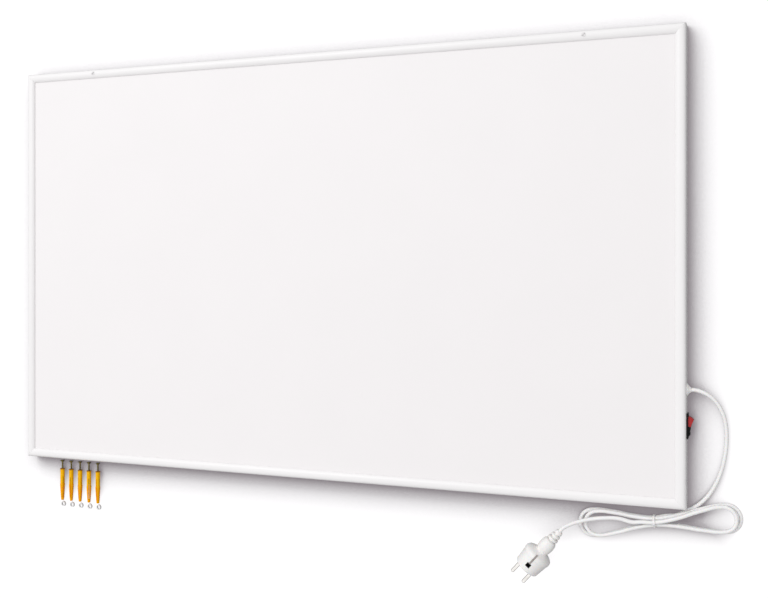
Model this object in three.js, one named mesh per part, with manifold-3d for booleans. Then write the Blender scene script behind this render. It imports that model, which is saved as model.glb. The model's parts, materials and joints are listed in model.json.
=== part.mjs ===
// Infrared panel heater: a flat heated panel in a domed white frame, with its rocker switch,
// mains cord, plug and wall fixings. The panel lies on its back.
// Millimetres. The origin is the centre of the rear face; +X runs along the long side,
// +Y towards the top edge and +Z out of the heated face.
import * as THREE from "three";
import { mergeVertices } from "three/addons/utils/BufferGeometryUtils.js";
import Module from "manifold-3d";

const wasm = await Module();
wasm.setup();

// ---- Driving dimensions ----
const panelWidth = 1000;
const panelHeight = 600;
const panelDepth = 22;
const fit = 0.3; // clearance between pieces that touch

// Frame section, measured inwards from the outer edge and up from the rear face
const frameFace = 13; // width of the face
const crestInset = 6; // from the outer edge to the highest line of the dome
const domeRise = 5; // from the top of the flat side to the crest
const lipDrop = 2.2; // from the crest down to the inner edge of the face
const lipThickness = 1.1;
const lipWidth = 3.6; // flat underside that holds the front plate down
const frameWall = 1.4;
const rearLipThickness = 1.5;
const rearLipWidth = 12.7;
const edgeChamfer = 1;

// Sheets of the sandwich
const plateThickness = 1.2;
const plateEdgeInset = 9.7; // under the lip, clear of the crown screws
const matThickness = 0.8;
const busbarWidth = 12;
const matEdgeInset = 17;
const rearSheet = 1.2;
const trayRimWidth = 5;
const trayRimLift = 0.6; // the tray's wall stands this much above the frame's rear lip

// Corner keys
const keyLeg = 45;
const keyWidth = 6;
const keyHeight = 10;

// Keyholes in the floors of their cups
const hangerInsetX = 100; // from the frame's sides to the middle of the round part
const hangerInsetY = 100;
const keyholeHead = 11; // diameter of the round part
const keyholeSlot = 5.2; // width of the slot
const keyholeRise = 12; // from the middle of the round part to the end of the slot
const cupWall = 1;
const cupDepth = 10;
const cupMargin = 4; // clear space round the keyhole inside the cup
const cupLedge = 3; // how far a cup rests on the tray round its window

// Crown screws
const crownScrewInset = 125; // from the ends of the top rail
const crownHeadRadius = 2.7;
const crownHeadHeight = 0.9;
const crownShankRadius = 1.5;
const crownShankLength = 8;
const crownSlot = 0.7;

// Rocker switch, in the right side of the frame
const switchY = -197.4;
const bezelLength = 32;
const bezelWidth = 14;
const bezelThickness = 1.7;
const switchBodyLength = 29.2;
const switchBodyWidth = 11.2;
const switchBodyDepth = 21.5;
const switchWall = 1;
const pivotDepth = 1.5; // rocker pivot below the frame's side face
const rockerRadius = 13.2; // its ends turn on this circle
const rockerEndHeight = 6.9; // from the pivot to its two ends
const rockerMiddleHeight = 4.6;
const rockerSkirt = 2.3;
const rockerTilt = 13; // degrees to each side of level
const stemWidth = 6.4;
const stemLength = 9;
const plungerRadius = 1.6;
const plungerReach = 13.1;
const trunnionRadius = 1.2;
const leverPivotDepth = 15.5;
const leverLength = 18;
const leverThickness = 0.8;
const leverWidth = 4;
const leverTilt = 9;
const bladeThickness = 0.8;
const bladeWidth = 4.8;
const bladeTail = 8.5; // outside the switch body
const loadBladeOffset = 7.5;

// Wiring inside
const wireRadius = 1.2;
const terminalLength = 34;
const terminalWidth = 18;
const terminalHeight = 11;
const terminalInset = 51; // from the frame's side to the middle of the block
const clampInset = 30;
const clampLength = 22;
const clampWidth = 8;
const clampWall = 2;
const earthInset = 68;
const earthTagLength = 14;
const earthTagWidth = 8;
const earthStudRadius = 2;
const earthStudHeight = 7;
const earthNutRadius = 3.6;
const earthNutHeight = 3.5;
const cutoutLength = 22;
const cutoutWidth = 8;
const cutoutHeight = 3.8;
const cutoutBelowSwitch = 33.6;

// Mains cord
const cordDiameter = 5;
const cordY = -152.8;
const bushingFlangeRadius = 7.5;
const bushingFlange = 1.5;
const bushingNoseLength = 3.6;
const bushingNoseRadius = 6.2;
const bushingTipRadius = 4.3;
const bushingSleeveRadius = 4.8;
const bushingSleeveLength = 15;
const bushingBarbRadius = 6;
const bushingBarbLength = 2;

// Hank of the cord: two loops drawn in at a tie
const hankWaist = [461, -319.6];
const hankTurn = 6.8; // degrees from +X
const strandPitch = 5.8; // between the middles of strands that touch
const waistSpread = 4; // half the distance between strands in the tie
const waistLift = 1.4; // the tie's band passes under the strands
const hankEndReach = 20; // from the tie to where the lead and the tail meet the hank
const hankLoops = 2;
const stepsPerArc = 6;
const stepsPerRun = 3; // from the tie to an arc
const climbFrom = 80; // along the run where a strand starts to climb a layer
const climbTo = 38;
const tieWidth = 2.6;
const tieThickness = 0.7;
const tieClear = 0.7;
// Each layer: half width of its lobes, and its arc centres to the right and left of the tie
const hankLayers = [
  { half: 16.5, right: 86.5, left: 77.8 },
  { half: 15.2, right: 83, left: 71.3 },
];

// Plug, along its own axis from the cord end to the pin tips
const plugCordEnd = [343.9, -340.3];
const plugTurn = 228.9; // degrees from +X
const plugRadius = 19;
const plugPinRadius = 2.4;
const plugPinLength = 19;
const plugPinSpacing = 19;
const plugPinRoot = 8;
const plugFaceAt = 66.5;
const clipWidth = 3.2;
const clipThickness = 1;
const clipLength = 24;
const clipGroove = 4.4;

// Wall fixings
const fixingCount = 5;
const fixingPitch = 16.65;
const fixingFirstX = -446;
const fixingGapToFrame = 5.6;
const wallPlugLength = 49.5;
const wallPlugRadius = 3.8;
const wallPlugTipRadius = 2.4;
const wallPlugTaperFrom = 27.2; // from its mouth
const screwShankRadius = 1.75;
const screwHeadRadius = 3.5;
const screwHeadHeight = 2.6;
const screwShown = 13; // from the head's face to the mouth of the wall plug
const screwInPlug = 22;
const screwPoint = 4;
const spacerRadius = 4;
const spacerBore = 2.3;
const spacerLength = 3;
const spacerGap = 6.4; // from the wall plug's tip to the spacer's middle

// ---- Places worked out from the sizes ----
const sideTop = panelDepth - domeRise;
const sideMiddle = (edgeChamfer + sideTop) / 2;
const lipTop = panelDepth - lipDrop;
const lipUnder = lipTop - lipThickness;
const plateTop = lipUnder - fit;
const matTop = plateTop - plateThickness - fit;
const matBottom = matTop - matThickness;
const fillTop = matBottom - fit;
const fillBottom = rearSheet + fit;
const halfX = panelWidth / 2;
const halfY = panelHeight / 2;
const trayWallInset = rearLipWidth + fit;
const trayTop = rearLipThickness + fit + rearSheet;
const cordRadius = cordDiameter / 2;

// ---- Finishes ----
const finish = (color, roughness, metalness = 0) =>
  new THREE.MeshStandardMaterial({ color, roughness, metalness });
const whitePaint = finish(0xf6f3f3, 0.45);
const platePaint = finish(0xf7f4f3, 0.6);
const whitePlastic = finish(0xf1efec, 0.45);
const cordPlastic = finish(0xf3f1ee, 0.5);
const blackPlastic = finish(0x17161a, 0.4);
const redPlastic = finish(0xb01218, 0.25);
const carbonFilm = finish(0x202022, 0.8);
const copper = finish(0xb87345, 0.35, 1);
const steel = finish(0xb9bbbe, 0.35, 1);
const nickel = finish(0xb5b3ac, 0.25, 1);
const zinc = finish(0x9a8240, 0.4, 1);
const mineralFill = finish(0xd9d2bd, 0.95);
const brownWire = finish(0x6a4025, 0.5);
const blueWire = finish(0x2f5fa8, 0.5);
const greenWire = finish(0x5f8f2f, 0.5);
const orangePlastic = finish(0xf7a81c, 0.45);
const greyPlastic = finish(0xdcdcda, 0.5);

// ---- Making solids ----
const rad = THREE.MathUtils.degToRad;

function solidOf(geometry) {
  const bare = new THREE.BufferGeometry();
  const flat = geometry.index ? geometry.toNonIndexed() : geometry;
  bare.setAttribute("position", flat.getAttribute("position"));
  const merged = mergeVertices(bare, 1e-4);
  return new wasm.Manifold(
    new wasm.Mesh({
      numProp: 3,
      vertProperties: merged.attributes.position.array,
      triVerts: new Uint32Array(merged.index.array),
    }),
  );
}

function geometryOf(solid) {
  const mesh = solid.getMesh();
  const geometry = new THREE.BufferGeometry();
  geometry.setAttribute("position", new THREE.BufferAttribute(mesh.vertProperties, 3));
  geometry.setIndex(new THREE.BufferAttribute(mesh.triVerts, 1));
  const faceted = geometry.toNonIndexed();
  faceted.computeVertexNormals();
  return faceted;
}

const cut = (body, ...tools) =>
  geometryOf(tools.reduce((left, tool) => left.subtract(solidOf(tool)), solidOf(body)));

const join = (...bodies) =>
  geometryOf(bodies.map(solidOf).reduce((whole, body) => whole.add(body)));

// A block between two corners
function block(low, high) {
  const size = high.map((value, axis) => value - low[axis]);
  const middle = high.map((value, axis) => (value + low[axis]) / 2);
  return new THREE.BoxGeometry(...size).translate(...middle);
}

// A turned piece from [radius, height] points, standing along +Z
function turned(profile, sides = 24) {
  const points = profile.map(([radius, height]) => new THREE.Vector2(radius, height));
  return new THREE.LatheGeometry(points, sides).rotateX(Math.PI / 2);
}

const alongX = (geometry) => geometry.rotateY(Math.PI / 2);

const rod = (radius, low, high, sides = 16) =>
  turned(
    [
      [0, low],
      [radius, low],
      [radius, high],
      [0, high],
    ],
    sides,
  );

function roundSection(radius, sides) {
  const section = new THREE.Shape();
  for (let side = 0; side < sides; side += 1) {
    const angle = (side / sides) * 2 * Math.PI;
    const x = radius * Math.cos(angle);
    const y = radius * Math.sin(angle);
    if (side === 0) section.moveTo(x, y);
    else section.lineTo(x, y);
  }
  return section;
}

// A round tube through points, straight for its first and last step
function tubeThrough(points, radius, sides, steps) {
  const through = points.map((point) => new THREE.Vector3(...point));
  const route = new THREE.CatmullRomCurve3(through, false, "centripetal");
  return new THREE.ExtrudeGeometry(roundSection(radius, sides), {
    steps,
    extrudePath: route,
    bevelEnabled: false,
  });
}

// A round tube whose rings are the points themselves
function tubeOnRings(points, radius, sides) {
  const count = points.length;
  const tangents = points.map((point, i) =>
    points[Math.min(i + 1, count - 1)].clone().sub(points[Math.max(i - 1, 0)]).normalize(),
  );
  const vertices = [];
  let across = new THREE.Vector3(0, 0, 1);
  points.forEach((point, i) => {
    across = across.clone().addScaledVector(tangents[i], -across.dot(tangents[i])).normalize();
    const side = tangents[i].clone().cross(across);
    for (let k = 0; k < sides; k += 1) {
      const angle = (k / sides) * 2 * Math.PI;
      const at = point.clone();
      at.addScaledVector(across, radius * Math.cos(angle));
      at.addScaledVector(side, radius * Math.sin(angle));
      vertices.push(at.x, at.y, at.z);
    }
  });
  const faces = [];
  for (let i = 0; i < count - 1; i += 1) {
    for (let k = 0; k < sides; k += 1) {
      const a = i * sides + k;
      const b = i * sides + ((k + 1) % sides);
      faces.push(a, b, b + sides, a, b + sides, a + sides);
    }
  }
  const last = (count - 1) * sides;
  for (let k = 1; k < sides - 1; k += 1) {
    faces.push(0, k + 1, k);
    faces.push(last, last + k, last + k + 1);
  }
  const geometry = new THREE.BufferGeometry();
  geometry.setAttribute("position", new THREE.Float32BufferAttribute(vertices, 3));
  geometry.setIndex(faces);
  return geometry;
}

const heater = new THREE.Group();

function place(parent, name, geometry, material) {
  const mesh = new THREE.Mesh(geometry, material);
  mesh.name = name;
  parent.add(mesh);
  return mesh;
}

// ---- Frame ----
function frameSection() {
  const innerCrest = panelDepth - frameWall;
  const roofEnd = frameFace - lipWidth;
  const section = new THREE.Shape();
  section.moveTo(edgeChamfer, 0);
  section.lineTo(0, edgeChamfer);
  section.lineTo(0, sideTop);
  section.bezierCurveTo(
    0,
    sideTop + 0.62 * domeRise,
    0.4 * crestInset,
    panelDepth,
    crestInset,
    panelDepth,
  );
  section.bezierCurveTo(
    crestInset + 0.45 * (frameFace - crestInset),
    panelDepth,
    frameFace - 1.6,
    lipTop + 0.6 * lipDrop,
    frameFace,
    lipTop,
  );
  section.lineTo(frameFace, lipUnder);
  section.lineTo(roofEnd, lipUnder);
  section.lineTo(roofEnd, innerCrest - 0.5);
  section.quadraticCurveTo(crestInset + 1, innerCrest, crestInset, innerCrest);
  section.bezierCurveTo(
    frameWall + 0.4 * (crestInset - frameWall),
    innerCrest,
    frameWall,
    sideTop + 0.45 * domeRise,
    frameWall,
    sideTop,
  );
  section.lineTo(frameWall, rearLipThickness);
  section.lineTo(rearLipWidth, rearLipThickness);
  section.lineTo(rearLipWidth, 0);
  return section;
}

// A rail of the frame along X, mitred at both ends, with its outer side at +Y
function mitredRail(length, halfAcross) {
  const geometry = new THREE.ExtrudeGeometry(frameSection(), {
    depth: 1,
    steps: 1,
    curveSegments: 5,
    bevelEnabled: false,
  });
  const at = geometry.getAttribute("position");
  for (let i = 0; i < at.count; i += 1) {
    const inset = at.getX(i);
    const height = at.getY(i);
    const end = at.getZ(i) < 0.5 ? 1 : -1;
    at.setXYZ(i, end * (length / 2 - inset - fit / 2), halfAcross - inset, height);
  }
  return geometry;
}

const crownScrewXs = [crownScrewInset - halfX, halfX - crownScrewInset];
const crownScrewY = halfY - crestInset;

function addFrame() {
  const top = cut(
    mitredRail(panelWidth, halfY),
    ...crownScrewXs.map((x) => {
      const seat = panelDepth - crownHeadHeight;
      const hole = rod(crownShankRadius + fit, seat - 2 * frameWall, panelDepth);
      const recess = rod(crownHeadRadius + fit, seat, panelDepth + 1);
      return join(hole, recess).translate(x, crownScrewY, 0);
    }),
  );
  place(heater, "frame_top", top, whitePaint);
  const bottom = mitredRail(panelWidth, halfY).rotateZ(Math.PI);
  place(heater, "frame_bottom", bottom, whitePaint);
  const left = mitredRail(panelHeight, halfX).rotateZ(Math.PI / 2);
  place(heater, "frame_left", left, whitePaint);
  const cutHalfLength = switchBodyLength / 2 + fit;
  const cutHalfWidth = switchBodyWidth / 2 + fit;
  const switchHole = block(
    [halfX - 2 * frameWall, switchY - cutHalfLength, sideMiddle - cutHalfWidth],
    [halfX + 1, switchY + cutHalfLength, sideMiddle + cutHalfWidth],
  );
  const cordHole = alongX(rod(bushingSleeveRadius + fit, -2 * frameWall, 1, 20)).translate(
    halfX,
    cordY,
    sideMiddle,
  );
  const right = cut(mitredRail(panelHeight, halfX).rotateZ(-Math.PI / 2), switchHole, cordHole);
  place(heater, "frame_right", right, whitePaint);
}

function addCornerKeys() {
  const outer = frameWall + fit;
  const inner = outer + keyWidth;
  const low = trayTop + fit;
  let number = 1;
  for (const sx of [-1, 1]) {
    for (const sy of [-1, 1]) {
      const corner = (u, v) => new THREE.Vector2(sx * (halfX - u), sy * (halfY - v));
      const outline = new THREE.Shape([
        corner(outer, outer),
        corner(keyLeg, outer),
        corner(keyLeg, inner),
        corner(inner, inner),
        corner(inner, keyLeg),
        corner(outer, keyLeg),
      ]);
      const key = new THREE.ExtrudeGeometry(outline, { depth: keyHeight, bevelEnabled: false });
      place(heater, `corner_key_${number}`, key.translate(0, 0, low), steel);
      number += 1;
    }
  }
}

function addCrownScrews() {
  const seat = panelDepth - crownHeadHeight;
  crownScrewXs.forEach((x, i) => {
    const head = rod(crownHeadRadius, seat + fit, panelDepth + 0.2);
    const shank = rod(crownShankRadius, panelDepth - crownShankLength, panelDepth - 0.3);
    const slot = block(
      [-2 * crownHeadRadius, -crownSlot / 2, panelDepth - 0.3],
      [2 * crownHeadRadius, crownSlot / 2, panelDepth + 1],
    ).rotateZ(rad(45));
    const screw = cut(join(head, shank), slot).translate(x, crownScrewY, 0);
    place(heater, `crown_screw_${i + 1}`, screw, whitePaint);
  });
}

// ---- Sandwich of sheets ----
const hangerPlaces = [];
for (const sx of [-1, 1]) {
  for (const sy of [-1, 1]) {
    hangerPlaces.push([sx * (halfX - hangerInsetX), sy * (halfY - hangerInsetY)]);
  }
}
const cupHalfWidth = keyholeHead / 2 + cupMargin + cupWall;
const cupLow = -keyholeHead / 2 - cupMargin - cupWall; // from the middle of the round part
const cupHigh = keyholeRise + keyholeSlot / 2 + cupMargin + cupWall;
const cupTop = fillBottom + cupDepth;

// Wiring bay in the fill, beside the switch and the cord
const bayLeft = halfX - 95;
const bayTop = cordY + 32.8;
const bayBottom = switchY - 48.6;
const neutralWireX = halfX - 75;
const neutralWireY = 28 - halfY;
const wireHeight = fillTop - wireRadius;
const grooveHalf = wireRadius + 1;
const bendRoom = 15; // the groove widens where the wire turns

const plateHalfX = halfX - plateEdgeInset;
const plateHalfY = halfY - plateEdgeInset;
const matHalfY = halfY - matEdgeInset;
const busbarOuter = halfX - matEdgeInset;
const busbarInner = busbarOuter - busbarWidth;
const fillHalfX = halfX - trayWallInset - rearSheet - fit;
const fillHalfY = halfY - trayWallInset - rearSheet - fit;

function addSheets() {
  const plate = block(
    [-plateHalfX, -plateHalfY, plateTop - plateThickness],
    [plateHalfX, plateHalfY, plateTop],
  );
  place(heater, "front_plate", plate, platePaint);
  const matHalfX = busbarInner - fit;
  const mat = block([-matHalfX, -matHalfY, matBottom], [matHalfX, matHalfY, matTop]);
  place(heater, "heating_mat", mat, carbonFilm);
  const rightBar = block([busbarInner, -matHalfY, matBottom], [busbarOuter, matHalfY, matTop]);
  place(heater, "busbar_right", rightBar, copper);
  const leftBar = block([-busbarOuter, -matHalfY, matBottom], [-busbarInner, matHalfY, matTop]);
  place(heater, "busbar_left", leftBar, copper);

  const through = fillTop + 1;
  const under = fillBottom - 1;
  const bay = block([bayLeft, bayBottom, under], [halfX, bayTop, through]);
  const grooveFloor = wireHeight - grooveHalf;
  const drop = block(
    [neutralWireX - grooveHalf, neutralWireY - grooveHalf, grooveFloor],
    [neutralWireX + grooveHalf, bayBottom + 1, through],
  );
  const run = block(
    [-busbarOuter, neutralWireY - grooveHalf, grooveFloor],
    [neutralWireX + grooveHalf, neutralWireY + grooveHalf, through],
  );
  const bend = block(
    [neutralWireX - bendRoom, neutralWireY - grooveHalf, grooveFloor],
    [neutralWireX + grooveHalf, neutralWireY + bendRoom, through],
  );
  const pockets = hangerPlaces.map(([x, y]) =>
    block(
      [x - cupHalfWidth - fit, y + cupLow - fit, under],
      [x + cupHalfWidth + fit, y + cupHigh + fit, cupTop + fit],
    ),
  );
  const fill = block([-fillHalfX, -fillHalfY, fillBottom], [fillHalfX, fillHalfY, fillTop]);
  place(heater, "insulation_board", cut(fill, bay, drop, run, bend, ...pockets), mineralFill);
}

// The keyhole as a solid that cuts through from low to high
function keyhole(low, high) {
  const head = rod(keyholeHead / 2, low, high, 24);
  const slotHalf = keyholeSlot / 2;
  const slot = block([-slotHalf, 0, low], [slotHalf, keyholeRise, high]);
  const end = rod(slotHalf, low, high, 16).translate(0, keyholeRise, 0);
  return join(head, slot, end);
}

function addRearTray() {
  const wallX = halfX - trayWallInset;
  const wallY = halfY - trayWallInset;
  const rimX = wallX + trayRimWidth;
  const rimY = wallY + trayRimWidth;
  const rimBottom = rearLipThickness + fit;
  const pan = block([-wallX, -wallY, 0], [wallX, wallY, trayTop]);
  const rim = block([-rimX, -rimY, rimBottom], [rimX, rimY, trayTop]);
  const hollow = block(
    [rearSheet - wallX, rearSheet - wallY, rearSheet],
    [wallX - rearSheet, wallY - rearSheet, trayTop + 1],
  );
  const windows = hangerPlaces.map(([x, y]) =>
    block(
      [x - cupHalfWidth + cupLedge, y + cupLow + cupLedge, -1],
      [x + cupHalfWidth - cupLedge, y + cupHigh - cupLedge, rearSheet + 1],
    ),
  );
  place(heater, "rear_plate", cut(join(pan, rim), hollow, ...windows), whitePaint);
  hangerPlaces.forEach(([x, y], i) => {
    const shell = block([-cupHalfWidth, cupLow, fillBottom], [cupHalfWidth, cupHigh, cupTop]);
    const room = block(
      [cupWall - cupHalfWidth, cupLow + cupWall, fillBottom + rearSheet],
      [cupHalfWidth - cupWall, cupHigh - cupWall, cupTop - cupWall],
    );
    const hole = keyhole(fillBottom - 1, fillBottom + rearSheet + 1);
    place(heater, `hanger_cup_${i + 1}`, cut(shell, room, hole).translate(x, y, 0), steel);
  });
}

// ---- Rocker switch ----
const pivotX = halfX - pivotDepth;
const leverX = halfX - leverPivotDepth;
const bodyBack = halfX - switchBodyDepth;
const bladeEnd = bodyBack - bladeTail;
const loadBladeY = switchY - loadBladeOffset;

function rockerOutline() {
  const endAcross = Math.sqrt(rockerRadius ** 2 - rockerEndHeight ** 2);
  const cornerAngle = Math.atan2(endAcross, rockerEndHeight);
  const skirtAngle = Math.PI / 2 + Math.asin(rockerSkirt / rockerRadius);
  const half = stemWidth / 2;
  const outline = new THREE.Shape();
  outline.moveTo(rockerEndHeight, endAcross);
  outline.lineTo(rockerMiddleHeight, 0);
  outline.lineTo(rockerEndHeight, -endAcross);
  outline.absarc(0, 0, rockerRadius, -cornerAngle, -skirtAngle, true);
  outline.lineTo(-rockerSkirt, -half);
  outline.lineTo(-stemLength, -half);
  outline.lineTo(-stemLength, half);
  outline.lineTo(-rockerSkirt, half);
  outline.absarc(0, 0, rockerRadius, skirtAngle, cornerAngle, true);
  return outline;
}

function addSwitch() {
  const halfWidth = switchBodyWidth / 2;
  const halfLength = switchBodyLength / 2;
  const front = halfX + fit + bezelThickness;
  const centred = (low, high, y, z) =>
    block([low, switchY - y, sideMiddle - z], [high, switchY + y, sideMiddle + z]);
  const bezel = centred(halfX + fit, front, bezelLength / 2, bezelWidth / 2);
  const body = centred(bodyBack, front, halfLength, halfWidth);
  const room = centred(
    bodyBack + switchWall,
    front + 1,
    halfLength - switchWall,
    halfWidth - switchWall,
  );
  const bladeSlots = [switchY, loadBladeY].map((y) =>
    block(
      [bodyBack - 1, y - bladeThickness / 2 - fit, sideMiddle - bladeWidth / 2 - fit],
      [bodyBack + switchWall + 1, y + bladeThickness / 2 + fit, sideMiddle + bladeWidth / 2 + fit],
    ),
  );
  const pivotHole = rod(trunnionRadius + fit, -bezelWidth, bezelWidth).translate(
    pivotX,
    switchY,
    sideMiddle,
  );
  const housing = cut(join(bezel, body), room, pivotHole, ...bladeSlots);
  place(heater, "switch_housing", housing, blackPlastic);

  const rockerPivot = new THREE.Group();
  rockerPivot.position.set(pivotX, switchY, sideMiddle);
  rockerPivot.rotation.z = -rad(rockerTilt);
  heater.add(rockerPivot);
  const rockerWidth = switchBodyWidth - 2 * switchWall - 2 * fit;
  const cap = new THREE.ExtrudeGeometry(rockerOutline(), {
    depth: rockerWidth,
    curveSegments: 6,
    bevelEnabled: false,
  }).translate(0, 0, -rockerWidth / 2);
  const trunnionEnd = rockerWidth / 2 + fit + 0.7 * switchWall;
  const trunnions = rod(trunnionRadius, -trunnionEnd, trunnionEnd);
  const well = alongX(rod(plungerRadius + fit, -stemLength - 1, -rockerSkirt - 1));
  place(rockerPivot, "rocker", cut(join(cap, trunnions), well), redPlastic);
  const plunger = turned(
    [
      [0, rockerSkirt + 1 + fit],
      [plungerRadius, rockerSkirt + 1 + fit],
      [plungerRadius, plungerReach - plungerRadius],
      [0.7 * plungerRadius, plungerReach - 0.3 * plungerRadius],
      [0, plungerReach],
    ],
    12,
  );
  place(rockerPivot, "plunger", plunger.rotateY(-Math.PI / 2), steel);

  const leverPivot = new THREE.Group();
  leverPivot.position.set(leverX, switchY, sideMiddle);
  leverPivot.rotation.z = rad(leverTilt);
  heater.add(leverPivot);
  const lever = block(
    [-leverThickness / 2, -leverLength / 2, -leverWidth / 2],
    [leverThickness / 2, leverLength / 2, leverWidth / 2],
  );
  place(leverPivot, "contact_lever", lever, copper);

  const blade = (top, y) =>
    block(
      [bladeEnd, y - bladeThickness / 2, sideMiddle - bladeWidth / 2],
      [top, y + bladeThickness / 2, sideMiddle + bladeWidth / 2],
    );
  const commonTop = leverX - leverThickness / 2 - 1.2 * fit;
  const leverDrop = loadBladeOffset * Math.tan(rad(leverTilt)); // where it meets the load blade
  const loadTop = leverX - leverThickness / 2 - leverDrop - 1.5 * fit;
  place(heater, "switch_blade_common", blade(commonTop, switchY), copper);
  place(heater, "switch_blade_load", blade(loadTop, loadBladeY), copper);
}

// ---- Cord entry and wiring ----
const blockX = halfX - terminalInset;
const blockEdge = terminalWidth / 2;
const clampX = halfX - clampInset;
const earthX = halfX - earthInset;
const earthY = switchY + 1.4;
const cutoutY = switchY - cutoutBelowSwitch;
const noseTip = halfX + fit + bushingFlange + bushingNoseLength;

function addCordEntry() {
  const bore = cordRadius + fit;
  const flangeFar = fit + bushingFlange;
  const barbStart = -frameWall - fit;
  const bushing = turned(
    [
      [bore, -bushingSleeveLength],
      [bushingSleeveRadius, -bushingSleeveLength],
      [bushingSleeveRadius, barbStart - bushingBarbLength],
      [bushingBarbRadius, barbStart],
      [bushingSleeveRadius, barbStart],
      [bushingSleeveRadius, fit],
      [bushingFlangeRadius, fit],
      [bushingFlangeRadius, flangeFar],
      [bushingNoseRadius, flangeFar],
      [bushingTipRadius, flangeFar + bushingNoseLength],
      [bore, flangeFar + bushingNoseLength],
      [bore, -bushingSleeveLength],
    ],
    24,
  );
  place(heater, "cord_bushing", alongX(bushing).translate(halfX, cordY, sideMiddle), whitePlastic);
  const cordEnd = blockX + blockEdge + fit;
  const inner = alongX(rod(cordRadius, cordEnd, noseTip, 12)).translate(0, cordY, sideMiddle);
  place(heater, "cord_inner", inner, cordPlastic);
  const clamp = block(
    [clampX - clampWidth / 2, cordY - clampLength / 2, fillBottom],
    [clampX + clampWidth / 2, cordY + clampLength / 2, sideMiddle + cordRadius + clampWall],
  );
  const clampBore = alongX(rod(bore, clampX - clampWidth, clampX + clampWidth));
  clampBore.translate(0, cordY, sideMiddle);
  place(heater, "cord_clamp", cut(clamp, clampBore), whitePlastic);
}

function addWiring() {
  const blockLow = [blockX - blockEdge, cordY - terminalLength / 2, fillBottom];
  const blockHigh = [blockX + blockEdge, cordY + terminalLength / 2, fillBottom + terminalHeight];
  place(heater, "terminal_block", block(blockLow, blockHigh), whitePlastic);
  const barMiddle = (busbarInner + busbarOuter) / 2;
  const cutoutX = barMiddle - cutoutLength / 2 + 2;
  const cutoutTop = cutoutY + cutoutWidth / 2;
  const cutout = block(
    [cutoutX - cutoutLength / 2, cutoutY - cutoutWidth / 2, fillTop - cutoutHeight],
    [cutoutX + cutoutLength / 2, cutoutTop, fillTop],
  );
  place(heater, "thermal_cutout", cutout, steel);
  const tag = block(
    [earthX - earthTagWidth / 2, earthY - earthTagLength / 2, fillBottom],
    [earthX + earthTagWidth / 2, earthY + earthTagLength / 2, fillBottom + 1],
  );
  const stud = rod(earthStudRadius, fillBottom, fillBottom + earthStudHeight, 12);
  stud.translate(earthX, earthY - 2, 0);
  const nut = rod(earthNutRadius, fillBottom, fillBottom + earthNutHeight, 6);
  nut.translate(earthX, earthY - 2, 0);
  place(heater, "earth_stud", join(tag, stud, nut), steel);

  const south = blockLow[1] - fit;
  const wireStart = fillBottom + terminalHeight / 2;
  const wire = (name, points, steps, material) =>
    place(heater, name, tubeThrough(points, wireRadius, 8, steps), material);
  wire(
    "live_wire",
    [
      [blockX + 5, south, wireStart],
      [blockX + 5, south - 8, wireStart],
      [blockX + 9, south - 22, sideMiddle],
      [bladeEnd - 6, switchY, sideMiddle],
      [bladeEnd - fit, switchY, sideMiddle],
    ],
    14,
    brownWire,
  );
  wire(
    "switched_wire",
    [
      [bladeEnd - fit, loadBladeY, sideMiddle],
      [bladeEnd - 7, loadBladeY, sideMiddle],
      [cutoutX - 7, loadBladeY - 8, fillTop - cutoutHeight / 2 - 2],
      [cutoutX - 5, cutoutTop + 6, fillTop - cutoutHeight / 2],
      [cutoutX - 5, cutoutTop + fit, fillTop - cutoutHeight / 2],
    ],
    14,
    brownWire,
  );
  wire(
    "earth_wire",
    [
      [blockX - 5, south, wireStart],
      [blockX - 5, south - 6, wireStart],
      [earthX + 2, earthY + 17, fillBottom + 4],
      [earthX, earthY + 12, fillBottom + 1.3 + wireRadius],
      [earthX, earthY + 4, fillBottom + 1.3 + wireRadius],
    ],
    12,
    greenWire,
  );
  const neutralPoints = [
    [blockLow[0] - fit, cordY - 6, wireStart],
    [blockLow[0] - 7, cordY - 6, wireStart],
    [neutralWireX, cordY - 22, wireStart + 1],
    [neutralWireX, bayBottom + 30, wireHeight - 1],
    [neutralWireX, bayBottom, wireHeight],
    [neutralWireX, neutralWireY + 12, wireHeight],
    [neutralWireX - 1, neutralWireY + 4, wireHeight],
    [neutralWireX - 4, neutralWireY + 1, wireHeight],
    [neutralWireX - 12, neutralWireY, wireHeight],
    [0, neutralWireY, wireHeight],
    [-busbarInner - busbarWidth / 2, neutralWireY, wireHeight],
  ].map((point) => new THREE.Vector3(...point));
  // The long wire has its rings close together only where it bends
  const neutralRoute = new THREE.CatmullRomCurve3(neutralPoints, false, "centripetal");
  const ringsBetween = 3;
  const neutralRings = neutralRoute.getPoints(ringsBetween * (neutralPoints.length - 1));
  place(heater, "neutral_wire", tubeOnRings(neutralRings, wireRadius, 8), blueWire);
}

// ---- Mains cord ----
const smooth = (x) => {
  const t = Math.min(1, Math.max(0, x));
  return t * t * (3 - 2 * t);
};
const turn = rad(hankTurn);
const topStrandHeight = (apart) => Math.sqrt(strandPitch ** 2 - apart ** 2);

// From the hank's own frame (along it, across it, up) to the panel's
const onHank = (along, across, up) => [
  hankWaist[0] + along * Math.cos(turn) - across * Math.sin(turn),
  hankWaist[1] + along * Math.sin(turn) + across * Math.cos(turn),
  up,
];

// Height of the strands over the surface: the tie lifts them a little
const lifted = (layer, along) =>
  cordRadius + layer * strandPitch + waistLift * (1 - smooth(Math.abs(along) / 45));

// One strand between the tie and an arc: how far it lies from the hank's axis
const spreadAt = (shape, along) => {
  const reach = along > 0 ? shape.right : shape.left;
  return waistSpread + (shape.half - waistSpread) * smooth(Math.abs(along) / reach);
};

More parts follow.
